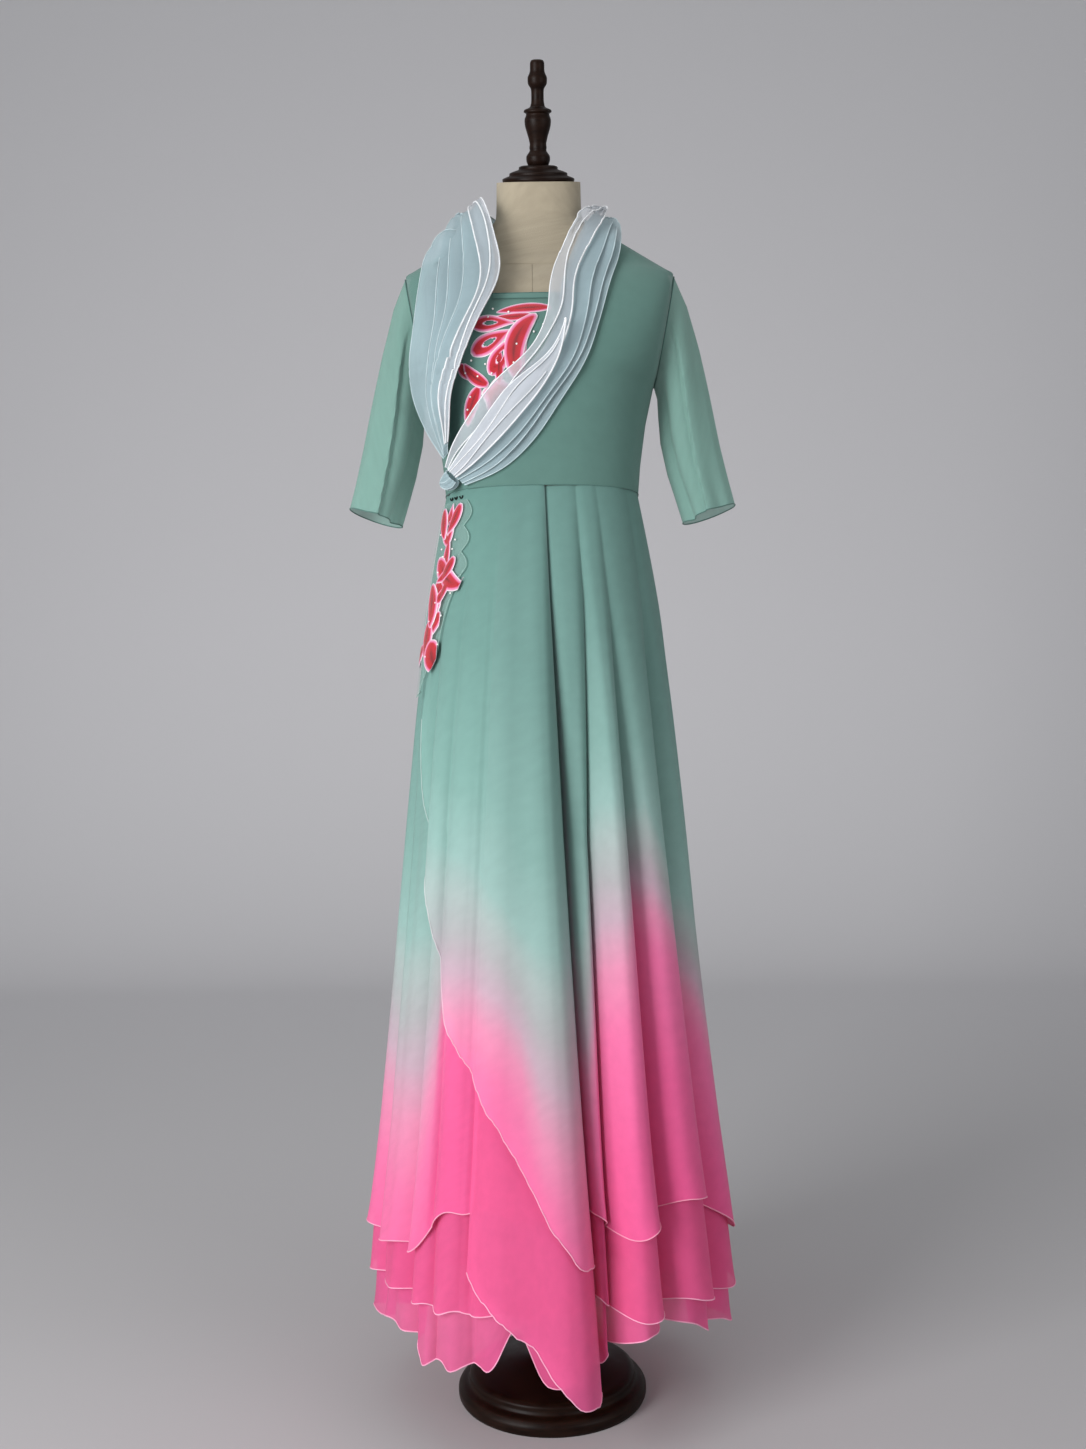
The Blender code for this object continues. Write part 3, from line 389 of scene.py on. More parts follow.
def row_value(rows, key, column, at):
    """A column of a table at some place along its key, on a smooth curve through the rows."""
    places = [getattr(row, key) for row in rows]
    values = [getattr(row, column) for row in rows]
    if at <= places[0]:
        return values[0]
    if at >= places[-1]:
        return values[-1]
    i = next(n for n in range(len(places) - 1) if at <= places[n + 1])
    slopes = []
    for n in (i, i + 1):
        low = max(n - 1, 0)
        high = min(n + 1, len(rows) - 1)
        slopes.append((values[high] - values[low]) / (places[high] - places[low]))
    span = places[i + 1] - places[i]
    t = (at - places[i]) / span
    rise = values[i + 1] - values[i]
    if rise == 0:
        return values[i]
    # Slopes are held in, so that the curve never swings past its rows
    start, end = (max(0, min(3, slope * span / rise)) * rise for slope in slopes)
    return (
        values[i]
        + t * start
        + t * t * (3 * rise - 2 * start - end)
        + t * t * t * (start + end - 2 * rise)
    )


def straight_value(rows, key, column, at):
    """A column of a table at some place along its key, on straight lines between the rows."""
    for low, high in zip(rows, rows[1:]):
        if at <= getattr(high, key):
            break
    start = getattr(low, key)
    t = (at - start) / (getattr(high, key) - start)
    t = max(0.0, min(1.0, t))
    return getattr(low, column) * (1 - t) + getattr(high, column) * t


def spread(start, end, count):
    """count + 1 even steps from start to end."""
    return [start + (end - start) * n / count for n in range(count + 1)]


def smooth_step(t):
    t = max(0.0, min(1.0, t))
    return t * t * (3 - 2 * t)


def superellipse(share, power):
    """How far out a superellipse is at this share of its other half axis."""
    return max(0.0, 1 - min(1.0, abs(share)) ** power) ** (1 / power)


def armhole_depth(z):
    """Half the depth of the armhole at a height, from nothing at the underarm and the shoulder."""
    middle = (UNDERARM_Z + SHOULDER_TIP_Z) / 2
    return ARMHOLE_HALF_DEPTH * superellipse((z - middle) / (SHOULDER_TIP_Z - middle), 2)


def bodice_y(x, z, side):
    """The bodice's outer surface: side is -1 on the front and 1 on the back."""
    column = "front" if side < 0 else "back"
    width = straight_value(BODICE, "z", "half_width", z)
    depth = row_value(BODICE, "z", column, z)
    edge = armhole_depth(z)
    return side * (edge + (depth - edge) * superellipse(x / width, TORSO_POWER))


def chest_y(x, z):
    """The smoother surface over the chest that the collar lies on."""
    width = row_value(BODICE, "z", "drape_width", z)
    edge = armhole_depth(z)
    return -edge - (row_value(BODICE, "z", "front", z) - edge) * superellipse(x / width, TORSO_POWER)


def shoulder_height(x, y):
    """The height at which the bodice's shoulder passes under a place, or its lowest row beside it."""
    low = UNDERARM_Z
    high = SHOULDER_NECK_Z
    side = -1 if y < 0 else 1
    for _ in range(14):
        middle = (low + high) / 2
        width = straight_value(BODICE, "z", "half_width", middle)
        if abs(x) < width and abs(y) < abs(bodice_y(x, middle, side)):
            low = middle
        else:
            high = middle
    return low


def skirt_bearing(column, z):
    """The bearing of a place counted in folds, before any lean, in degrees."""
    turn, place = divmod(column, FOLDS)
    index = int(place)
    share = place - index
    drop = (WAIST_Z - z) / (WAIST_Z - HEM_Z)
    low = VALLEYS[index]
    high = VALLEYS[(index + 1) % FOLDS]
    start = low.waist_deg + (low.hem_deg - low.waist_deg) * drop
    end = high.waist_deg + (high.hem_deg - high.waist_deg) * drop
    if index == FOLDS - 1:
        end += 360
    return 360 * turn + start + (end - start) * share


def front_share(column):
    """1 where the overlays hang in front of the tiers, and 0 where the tiers are outermost."""
    place = column % FOLDS
    if place < 1:
        return 1 - smooth_step(place)
    return smooth_step((place - OVERLAY_1_START + DROP_LEAD) / DROP_FOLDS)


def skirt_point(column, z, layer, behind=0):
    """A place on a layer of the skirt. layer counts the cloths outside it, and behind those in front."""
    place = column % FOLDS
    index = int(place)
    share = place - index
    low = VALLEYS[index]
    high = VALLEYS[(index + 1) % FOLDS]
    valley = (1 - math.sin(math.pi * share)) ** FOLD_SHARPNESS
    mix = smooth_step(share)
    hip = low.hip + (high.hip - low.hip) * mix
    knee = low.knee + (high.knee - low.knee) * mix
    lean = low.lean_deg if share < 0.5 else high.lean_deg
    near_hip = min(1.0, 0.25 + 0.75 * (WAIST_Z - z) / (WAIST_Z - HIP_Z))
    near_knee = max(0.0, min(1.0, (HIP_Z - z) / (HIP_Z - KNEE_Z)))
    depth = hip * near_hip + (knee - hip) * near_knee
    bearing = skirt_bearing(column, z) + lean * valley * near_knee
    angle = math.radians(bearing)
    half_width = row_value(SKIRT, "z", "half_width", z)
    reach = row_value(SKIRT, "z", "front" if math.cos(angle) > 0 else "back", z)
    power = SKIRT_POWER + (TORSO_POWER - SKIRT_POWER) * smooth_step((z - HIP_Z) / (WAIST_Z - HIP_Z))
    across = abs(math.sin(angle) / half_width) ** power
    along = abs(math.cos(angle) / reach) ** power
    radius = (across + along) ** (-1 / power)
    inset = (layer + behind * front_share(column)) * straight_value(LAYER_STEPS, "z", "step", z)
    radius = (radius - inset) * (1 - depth * valley - low.crest * near_knee * (1 - valley))
    return Vector((radius * math.sin(angle), -radius * math.cos(angle), z))


def hem_height(column, tier):
    """Where a tier ends at this place round the skirt."""
    height = HEM_Z
    for _ in range(4):
        height = straight_value(HEMS, "deg", tier, skirt_bearing(column, height) % 360)
    return height


def edge_height(rows, column):
    """Where a cut edge crosses this place round the skirt."""
    height = rows[-1].z
    for _ in range(30):
        bearing = skirt_bearing(column, height) - 360
        height = (height + straight_value(rows, "deg", "z", bearing)) / 2
    return height


def sleeve_point(side, turn_deg, place):
    """A place on a sleeve. place runs from 0 at the armhole to 1 at the hem, and turn_deg round it."""
    row = place * (len(SLEEVE) - 1)
    index = min(int(row), len(SLEEVE) - 2)
    share = row - index
    ring = [a * (1 - share) + b * share for a, b in zip(SLEEVE[index], SLEEVE[index + 1])]
    outer_x, outer_z, inner_x, inner_z, half_depth, centre_y = ring
    turn = math.radians(turn_deg)
    off = (turn_deg - SLEEVE_FOLD_DEG) / SLEEVE_FOLD_WIDTH_DEG
    pinch = SLEEVE_FOLD_DEPTH * math.exp(-off * off) * place
    across = math.cos(turn) * (1 - pinch / half_depth)
    x = (outer_x + inner_x) / 2 + across * (outer_x - inner_x) / 2
    z = (outer_z + inner_z) / 2 + across * (outer_z - inner_z) / 2
    y = centre_y - (half_depth - pinch) * math.sin(turn)
    return Vector((side * x, y, z))


def band_value(rows, column, place):
    """A column of a collar's band, on a smooth curve through its rows."""
    index = min(max(int(place), 0), len(rows) - 2)
    t = place - index
    before, start, end, after = (
        getattr(rows[min(max(index + n, 0), len(rows) - 1)], column) for n in (-1, 0, 1, 2)
    )
    second = 2 * before - 5 * start + 4 * end - after
    third = 3 * (start - end) + after - before
    return start + 0.5 * t * (end - before + t * (second + t * third))


def band_point(rows, place, share):
    """A place on a collar's band. place counts its rows, and share runs from the neck outwards."""
    ends = [band_value(rows, name, place) for name in Band._fields]
    x = ends[0] + (ends[3] - ends[0]) * share
    y = ends[1] + (ends[4] - ends[1]) * share
    z = ends[2] + (ends[5] - ends[2]) * share
    on_chest = max(0.0, min(1.0, ends[6]))
    y = y * (1 - on_chest) + chest_y(x, z) * on_chest
    if on_chest < 1:
        z = max(z, shoulder_height(x, y) + SHOULDER_CLEARANCE)
    return Vector((x, y, z))

def petal_point(rows, petal, place, across):
    """A place on one petal, raised above the petals below it."""
    side = 1 if rows is COLLAR_RIGHT else -1
    along = (place - petal.start) / (petal.end - petal.start)
    tip = min(1.0, (place - petal.start) / PETAL_TIP) if petal.start else 1.0
    lobe = PETAL_TIP_WIDTH + (1 - PETAL_TIP_WIDTH) * superellipse(1 - tip, 2)
    wave = PETAL_WAVE * math.sin(2 * math.pi * petal.waves * along)
    middle = petal.inner + PETAL_TIP_SHARE * (petal.outer - petal.inner)
    inner = middle + (petal.inner - middle) * lobe
    outer = middle + (petal.outer + wave - middle) * lobe
    share = inner + (outer - inner) * across
    here = band_point(rows, place, share)
    down = band_point(rows, place + TINY, share) - here
    out = band_point(rows, place, share + TINY) - here
    normal = side * down.cross(out)
    sewn = smooth_step((place - len(rows) + PETAL_SEWN_END + PETAL_SEWN_ROWS) / PETAL_SEWN_ROWS)
    step = PETAL_STEP + (PETAL_SEWN_STEP - PETAL_STEP) * sewn
    clearance = PETAL_CLEARANCE + (PETAL_SEWN_CLEARANCE - PETAL_CLEARANCE) * sewn
    return here + normal.normalized() * (clearance + CLOTH + petal.level * step)


def knot_ring(along):
    """The middle of one of the knot's rings, and the directions of its height and its depth."""
    here = band_point(COLLAR_RIGHT, KNOT_PLACE, 0.5)
    down = here - band_point(COLLAR_RIGHT, KNOT_PLACE - 0.3, 0.5)
    out = (band_point(COLLAR_RIGHT, KNOT_PLACE, 0.6) - here).normalized()
    lift = down.cross(out).normalized()
    axis = out.cross(lift)
    aside = (lift * KNOT_BEND_OUTWARDS - out * KNOT_BEND_SIDEWAYS).normalized()
    length = KNOT[-1].along
    bend = KNOT_BEND * along / length
    curve = (axis * math.sin(bend) + aside * (1 - math.cos(bend))) * (length / KNOT_BEND)
    turn = Matrix.Rotation(bend, 3, axis.cross(aside))
    centre = here + lift * KNOT_LIFT + axis * KNOT_GAP + curve
    return centre, turn @ out, turn @ lift


# Where the dye changes, by place in folds: green ends and pink starts at these heights
Dye = namedtuple("Dye", "place overlay_green overlay_pink tier_green tier_pink")
DYE = [
    Dye(0.00, 0.600, 0.300, 0.640, 0.420),
    Dye(0.43, 0.600, 0.300, 0.640, 0.390),
    Dye(0.78, 0.600, 0.300, 0.700, 0.460),
    Dye(1.08, 0.600, 0.300, 0.800, 0.530),
    Dye(1.45, 0.600, 0.300, 0.800, 0.540),
    Dye(1.90, 0.600, 0.300, 0.785, 0.650),
    Dye(2.30, 0.600, 0.300, 0.800, 0.620),
    Dye(2.90, 0.600, 0.300, 0.690, 0.570),
    Dye(3.45, 0.600, 0.300, 0.670, 0.440),
    Dye(5.5, 0.600, 0.300, 0.710, 0.520),
    Dye(7.5, 0.600, 0.300, 0.650, 0.460),
    Dye(9.5, 0.600, 0.300, 0.700, 0.490),
    Dye(11.5, 0.700, 0.450, 0.650, 0.360),
    Dye(12.2, 0.740, 0.460, 0.610, 0.315),
    Dye(13.2, 0.760, 0.460, 0.650, 0.310),
    Dye(13.8, 0.750, 0.460, 0.670, 0.400),
    Dye(14.2, 0.740, 0.470, 0.860, 0.680),
    Dye(14.85, 0.725, 0.490, 0.860, 0.700),
    Dye(15.62, 0.685, 0.468, 0.860, 0.700),
    Dye(16.0, 0.650, 0.430, 0.700, 0.540),
    Dye(16.3, 0.630, 0.340, 0.670, 0.460),
    Dye(16.6, 0.620, 0.310, 0.640, 0.420),
    Dye(17.0, 0.600, 0.300, 0.640, 0.420),
]
GREEN_END = 0.45
PINK_START = 0.80
TIE_DEPTH = 0.30

# Camera and picture
CAMERA_LENS = 34.3
CAMERA_PLACE = (-0.00235, -1.865, 0.90)
CAMERA_ROLL = math.atan(0.01165)

# The share of its own width and length that a tapered piece of cloth is assumed to fill
ASSUMED_FILL = 0.45


def dye_at(place, z, columns):
    """How far the dye has gone at a height: 0 at the waist, 1 well below where the pink starts."""
    green = straight_value(DYE, "place", columns[0], place)
    pink = straight_value(DYE, "place", columns[1], place)
    if z > green:
        return GREEN_END * (WAIST_Z - z) / (WAIST_Z - green)
    if z > pink:
        return GREEN_END + (PINK_START - GREEN_END) * (green - z) / (green - pink)
    return PINK_START + (1 - PINK_START) * min(1.0, (pink - z) / TIE_DEPTH)


class Piece:
    """One piece of the look while it is being made: points, faces, and what each carries."""

    def __init__(self, name):
        self.name = name
        self.points = []
        self.faces = []
        self.slots = []
        self.dye = []
        self.uvs = []
        self.width = 0.0
        self.length = 0.0
        self.area = 0.0

    def grid(self, surface, columns, rows, dye=None, holds=None, slot=0, beside=False):
        """Cloth over surface(column, row). Its longest row, its length and its area are added up.

        beside is for cloth folded back, which lies beside the rest in the flat cut.
        """
        start = len(self.points)
        lattice = [[surface(column, row) for row in rows] for column in columns]
        across = [0.0] * len(rows)
        for i, line in enumerate(lattice):
            along = 0.0
            for j, point in enumerate(line):
                if i:
                    across[j] += (point - lattice[i - 1][j]).length
                if j:
                    along += (point - line[j - 1]).length
                self.points.append(point)
                self.dye.append(dye(columns[i], rows[j], point) if dye else 0.0)
                self.uvs.append((across[j], along))
            self.length = max(self.length, along)
        widest = max(across)
        self.width = self.width + widest if beside else max(self.width, widest)
        deep = len(rows)
        for i in range(len(columns) - 1):
            for j in range(deep - 1):
                if holds is None or holds(i, j):
                    here = start + i * deep + j
                    self.faces.append((here, here + deep, here + deep + 1, here + 1))
                    self.slots.append(slot)
                    a, b, c, d = lattice[i][j], lattice[i + 1][j], lattice[i + 1][j + 1], lattice[i][j + 1]
                    self.area += ((c - a).cross(d - b)).length / 2
        return lattice

    def cord(self, path, radius, slot=1, sides=6, closed=False, dye=0.0, taper=0.0):
        """A round cord along a path. dye is one value, or one for each point of the path."""
        count = len(path)
        if count < 3:
            return
        start = len(self.points)
        lean = None
        length = 0.0
        for n, point in enumerate(path):
            ahead = path[(n + 1) % count] if closed or n + 1 < count else point
            behind = path[n - 1] if closed or n else point
            axis = (ahead - behind).normalized()
            if lean is None:
                lean = axis.orthogonal()
            lean = (lean - axis * lean.dot(axis)).normalized()
            other = axis.cross(lean)
            if n:
                length += (point - path[n - 1]).length
            end = min(n, count - 1 - n) / max(1, count * taper) if taper and not closed else 1.0
            size = radius * min(1.0, 0.25 + end)
            for side in range(sides):
                turn = 2 * math.pi * side / sides
                self.points.append(point + (lean * math.cos(turn) + other * math.sin(turn)) * size)
                self.dye.append(dye[n] if isinstance(dye, list) else dye)
                self.uvs.append((side / sides * 0.01, length))
        for n in range(count if closed else count - 1):
            for side in range(sides):
                here = start + n * sides + side
                right = start + n * sides + (side + 1) % sides
                after = start + (n + 1) % count * sides
                self.faces.append((here, right, after + (side + 1) % sides, after + side))
                self.slots.append(slot)
        if not closed:
            last = start + (count - 1) * sides
            self.faces.append(tuple(start + side for side in reversed(range(sides))))
            self.faces.append(tuple(last + side for side in range(sides)))
            self.slots += [slot, slot]

    def ball(self, centre, radius, slot=0, dye=0.0, rounds=6, squash=None):
        """A small bead."""
        start = len(self.points)
        sides = rounds + 2
        for ring in range(rounds + 1):
            up = math.pi * ring / rounds
            for side in range(sides):
                turn = 2 * math.pi * side / sides
                spoke = Vector((math.sin(up) * math.cos(turn), math.sin(up) * math.sin(turn), math.cos(up)))
                self.points.append(centre + spoke * radius)
                self.dye.append(dye)
                self.uvs.append((turn * radius, up * radius))
        for ring in range(rounds):
            for side in range(sides):
                a = start + ring * sides + side
                b = start + ring * sides + (side + 1) % sides
                if ring == 0:
                    self.faces.append((start + side, a + sides, b + sides))
                elif ring == rounds - 1:
                    self.faces.append((a, start + rounds * sides + side, b))
                else:
                    self.faces.append((a, a + sides, b + sides, b))
                self.slots.append(slot)

    def make(self, materials, slot, *nodes, sharp_deg=70):
        mesh = bpy.data.meshes.new(self.name)
        mesh.from_pydata(self.points, [], self.faces)
        mesh.polygons.foreach_set("material_index", self.slots)
        mesh.shade_smooth()
        carried = mesh.attributes.new("dye", "FLOAT", "POINT")
        carried.data.foreach_set("value", self.dye)
        layer = mesh.uv_layers.new(name="cloth")
        for loop in mesh.loops:
            layer.data[loop.index].uv = self.uvs[loop.vertex_index]
        for material in materials:
            mesh.materials.append(material)
        editable = bmesh.new()
        editable.from_mesh(mesh)
        loose = [vertex for vertex in editable.verts if not vertex.link_faces]
        bmesh.ops.delete(editable, geom=loose, context="VERTS")
        editable.to_mesh(mesh)
        editable.free()
        mesh.set_sharp_from_angle(angle=math.radians(sharp_deg))
        made = bpy.data.objects.new(self.name, mesh)
        bpy.context.scene.collection.objects.link(made)
        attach(made, "root")
        if nodes:
            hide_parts(*nodes)
        return made

    def sheet(self, made, held, *rests_on, trims=()):
        # Where a piece tapers, its rows run along the slant and are longer than it is wide,
        # so its width is then a nominal one, worked out from its area and an assumed fill
        width = min(self.width, self.area / (ASSUMED_FILL * self.length))
        area = min(self.area, width * self.length)
        print(f"flat {self.name}: {width:.3f} x {self.length:.3f} m, {area:.4f} m2")


# Materials


def add(tree, kind, inputs=None, **settings):
    made = tree.nodes.new(kind)
    for key, value in settings.items():
        setattr(made, key, value)
    for key, value in (inputs or {}).items():
        if isinstance(value, bpy.types.NodeSocket):
            tree.links.new(value, made.inputs[key])
        else:
            made.inputs[key].default_value = value
    return made


def new_material(name):
    made = bpy.data.materials.new(name)
    made.use_nodes = True
    tree = made.node_tree
    tree.nodes.clear()
    return made, tree


def ramp(tree, fac, stops):
    made = add(tree, "ShaderNodeValToRGB", {"Fac": fac})
    elements = made.color_ramp.elements
    while len(elements) < len(stops):
        elements.new(0.5)
    for element, (at, colour) in zip(elements, stops):
        element.position = at
        element.color = (*colour, 1)
    return made.outputs["Color"]


def maths(tree, operation, a, b, c=0.0):
    made = add(tree, "ShaderNodeMath", operation=operation)
    for n, value in enumerate((a, b, c)):
        if isinstance(value, bpy.types.NodeSocket):
            tree.links.new(value, made.inputs[n])
        elif n < len(made.inputs):
            made.inputs[n].default_value = value
    return made.outputs[0]


def weave_height(tree, uv, thread, crinkle):
    """Height of a plain weave whose threads lie this far apart, with a crepe's fine unevenness."""
    apart = add(tree, "ShaderNodeSeparateXYZ", {"Vector": uv})
    pitch = math.pi / thread
    warp = maths(tree, "SINE", maths(tree, "MULTIPLY", apart.outputs["X"], pitch), 0)
    weft = maths(tree, "SINE", maths(tree, "MULTIPLY", apart.outputs["Y"], pitch), 0)
    crossed = maths(tree, "MULTIPLY", warp, weft)
    grain = add(tree, "ShaderNodeTexNoise", {"Vector": uv, "Scale": 0.35 / thread, "Detail": 2.0})
    return maths(tree, "MULTIPLY_ADD", grain.outputs["Fac"], crinkle, crossed)


def dye_stops(start, end):
    """A colour ramp over the whole dye."""
    return [(0.0, start), (1.0, end)]


def grain_stops(low, high):
    """A colour ramp over the middle of a noise, where most of its values lie."""
    return [(0.3, low), (0.7, high)]


def cloth_material(name, stops, through, clear, roughness=0.75, thread=0.00045, crinkle=2.0, mottle=0.04,
                   sheen=0.15, bump=0.00012, uneven=0.06):
    """Thin cloth whose colour follows the dye.

    through is the share of light that it passes on, and clear the share of open weave.
    """
    made, tree = new_material(name)
    dye = add(tree, "ShaderNodeAttribute", attribute_name="dye").outputs["Fac"]
    uv = add(tree, "ShaderNodeUVMap", uv_map="cloth").outputs["UV"]
    place = add(tree, "ShaderNodeTexCoord").outputs["Object"]
    cloud = add(tree, "ShaderNodeTexNoise", {"Vector": place, "Scale": 7.0, "Detail": 3.0}).outputs["Fac"]
    shift = maths(tree, "MULTIPLY_ADD", maths(tree, "SUBTRACT", cloud, 0.5), mottle, dye)
    colour = ramp(tree, shift, stops)
    streaks = add(tree, "ShaderNodeTexNoise", {"Vector": uv, "Scale": 60.0, "Detail": 4.0}).outputs["Fac"]
    shade = ramp(tree, streaks, [(0.3, (1 - uneven,) * 3), (0.7, (1.0, 1.0, 1.0))])
    mixed = add(tree, "ShaderNodeMix", data_type="RGBA", blend_type="MULTIPLY")
    mixed.inputs["Factor"].default_value = 1.0
    tree.links.new(colour, mixed.inputs["A"])
    tree.links.new(shade, mixed.inputs["B"])
    colour = mixed.outputs["Result"]
    height = weave_height(tree, uv, thread, crinkle)
    bumps = add(tree, "ShaderNodeBump", {"Height": height, "Distance": bump, "Strength": 0.5})
    normal = bumps.outputs["Normal"]
    front = add(tree, "ShaderNodeBsdfPrincipled", {
        "Base Color": colour, "Roughness": roughness, "Sheen Weight": sheen, "Sheen Roughness": 0.5,
        "Specular IOR Level": 0.25, "Normal": normal,
    })
    shown = front.outputs["BSDF"]
    for share, kind, inputs in (
        (through, "ShaderNodeBsdfTranslucent", {"Color": colour, "Normal": normal}),
        (clear, "ShaderNodeBsdfTransparent", {}),
    ):
        if share:
            other = add(tree, kind, inputs)
            blend = add(tree, "ShaderNodeMixShader", {"Fac": share})
            tree.links.new(shown, blend.inputs[1])
            tree.links.new(other.outputs["BSDF"], blend.inputs[2])
            shown = blend.outputs["Shader"]
    output = add(tree, "ShaderNodeOutputMaterial")
    tree.links.new(shown, output.inputs["Surface"])
    return made


def plain_material(name, stops, scale, roughness, metallic=0.0, bump=0.0, stretch=(1, 1, 1), coat=0.0,
                   specular=0.5):
    """A solid surface whose colour and height follow one noise, stretched along its grain."""
    made, tree = new_material(name)
    place = add(tree, "ShaderNodeTexCoord").outputs["Object"]
    mapped = add(tree, "ShaderNodeMapping", {"Vector": place, "Scale": stretch}).outputs["Vector"]
    grain = add(tree, "ShaderNodeTexNoise", {
        "Vector": mapped, "Scale": scale, "Detail": 6.0, "Roughness": 0.6,
    })
    colour = ramp(tree, grain.outputs["Fac"], stops)
    worn = grain_stops((roughness * 0.8,) * 3, (min(1, roughness * 1.2),) * 3)
    wear = ramp(tree, grain.outputs["Fac"], worn)
    shader = add(tree, "ShaderNodeBsdfPrincipled", {
        "Base Color": colour, "Roughness": wear, "Metallic": metallic, "Coat Weight": coat,
        "Specular IOR Level": specular,
    })
    if bump:
        lumps = add(tree, "ShaderNodeBump", {
            "Height": grain.outputs["Fac"], "Distance": bump, "Strength": 0.6,
        })
        tree.links.new(lumps.outputs["Normal"], shader.inputs["Normal"])
    output = add(tree, "ShaderNodeOutputMaterial")
    tree.links.new(shader.outputs["BSDF"], output.inputs["Surface"])
    return made


DIP_DYE = [
    (0.00, (0.150, 0.310, 0.275)),
    (0.20, (0.178, 0.350, 0.312)),
    (0.36, (0.245, 0.446, 0.400)),
    (0.45, (0.325, 0.528, 0.486)),
    (0.51, (0.420, 0.530, 0.510)),
    (0.57, (0.455, 0.475, 0.485)),
    (0.64, (0.580, 0.430, 0.515)),
    (0.72, (0.820, 0.300, 0.480)),
    (0.82, (0.900, 0.190, 0.420)),
    (0.91, (0.890, 0.135, 0.360)),
    (1.00, (0.870, 0.115, 0.330)),
]
PINK = dye_stops((0.870, 0.110, 0.320), (0.900, 0.150, 0.380))
BODICE_GREEN = dye_stops((0.105, 0.220, 0.190), (0.125, 0.250, 0.220))
SLEEVE_GREEN = dye_stops((0.230, 0.430, 0.370), (0.270, 0.480, 0.420))
BLUE = dye_stops((0.330, 0.450, 0.490), (0.400, 0.520, 0.560))
WHITE = dye_stops((0.640, 0.680, 0.740), (0.740, 0.770, 0.820))
NET = dye_stops((0.420, 0.560, 0.530), (0.480, 0.620, 0.580))
EMBROIDERY = [
    (0.00, (0.800, 0.760, 0.780)),
    (0.06, (0.800, 0.700, 0.750)),
    (0.12, (0.780, 0.340, 0.520)),
    (0.30, (0.720, 0.130, 0.290)),
    (0.40, (0.500, 0.006, 0.022)),
    (0.80, (0.420, 0.003, 0.012)),
    (1.00, (0.200, 0.002, 0.008)),
]

dip_dyed = cloth_material("dip_dyed_chiffon", DIP_DYE, 0.22, 0.07, mottle=0.05)
pink = cloth_material("pink_chiffon", PINK, 0.34, 0.14)
# A rolled hem is paler than its cloth
DIP_HEM = [(at, [c * 0.75 + 0.24 for c in colour]) for at, colour in DIP_DYE]
dip_hem = cloth_material("dip_dyed_rolled_hem", DIP_HEM, 0, 0, uneven=0.2)
pink_hem = cloth_material(
    "pink_rolled_hem", dye_stops((0.90, 0.36, 0.55), (0.92, 0.42, 0.60)), 0, 0, uneven=0.2,
)
bodice_green = cloth_material("green_chiffon", BODICE_GREEN, 0.10, 0.10, mottle=0.8)
seam_green = cloth_material("green_seam", dye_stops((0.060, 0.150, 0.130), (0.080, 0.180, 0.160)), 0, 0)
sleeve_green = cloth_material("sheer_green_chiffon", SLEEVE_GREEN, 0.30, 0.22, mottle=0.8)
blue = cloth_material("blue_grey_organza", BLUE, 0.25, 0.14, roughness=0.55, sheen=0.3, mottle=0.8)
blue_cord = cloth_material(
    "pale_blue_cord", dye_stops((0.50, 0.62, 0.65), (0.56, 0.68, 0.71)), 0, 0, uneven=0.25,
)
white = cloth_material("white_organza", WHITE, 0.25, 0.62, roughness=0.5, sheen=0.3, mottle=0.8)
dense_white = cloth_material("dense_white_organza", WHITE, 0.25, 0.34, roughness=0.5, sheen=0.3, mottle=0.8)
white_cord = cloth_material("white_cord", dye_stops((0.76, 0.78, 0.80), (0.84, 0.86, 0.88)), 0, 0, uneven=0.2)
net = cloth_material("embroidery_net", NET, 0.2, 0.78, mottle=0.8)
net_edge = cloth_material("net_scallop", dye_stops((0.38, 0.58, 0.52), (0.46, 0.66, 0.60)), 0.2, 0.45)
thread = cloth_material(
    "satin_stitch", EMBROIDERY, 0, 0, roughness=0.45, sheen=0.4, mottle=0.05, bump=0.0002,
    uneven=0.2,
)
pearl = plain_material("pearl", grain_stops((0.75, 0.74, 0.72), (0.86, 0.84, 0.82)), 300, 0.25, coat=0.5)
linen = cloth_material(
    "linen", dye_stops((0.33, 0.283, 0.205), (0.40, 0.347, 0.260)), 0, 0, roughness=0.9,
    thread=0.0007, mottle=1.2, bump=0.0003, uneven=0.14,
)
wood = plain_material(
    "dark_turned_wood", grain_stops((0.0045, 0.0018, 0.0012), (0.0140, 0.0058, 0.0032)), 30, 0.42,
    bump=0.0002, stretch=(1, 1, 6), specular=0.10,
)
metal = plain_material(
    "dark_metal", grain_stops((0.012, 0.012, 0.013), (0.022, 0.022, 0.024)), 200, 0.4, metallic=0.8,
    bump=0.00005,
)


# The skirt

FINE_PER_FOLD = 20
SKIRT_ROWS = 70
RIPPLE = 0.0028
LAYER_RIPPLE = 0.30
HEM_CORD = 0.0008
ROUND_NOISE = 3.2
HEM_BLEND = 0.05
FRONT_BLEND = 0.20
FRONT_BLEND_START = 13.9
FRONT_BLEND_FOLDS = 0.6
FRONT_CREASE = 15.0
FRONT_CREASE_WIDTH = 0.07
FRONT_CREASE_DEPTH = 0.0035


def fold_noise(column, z, seed, scale=1.0):
    turn = 2 * math.pi * (column % FOLDS) / FOLDS
    reach = ROUND_NOISE * scale
    return noise.noise(Vector((reach * math.cos(turn) + seed, reach * math.sin(turn), z * 1.6 * scale)))


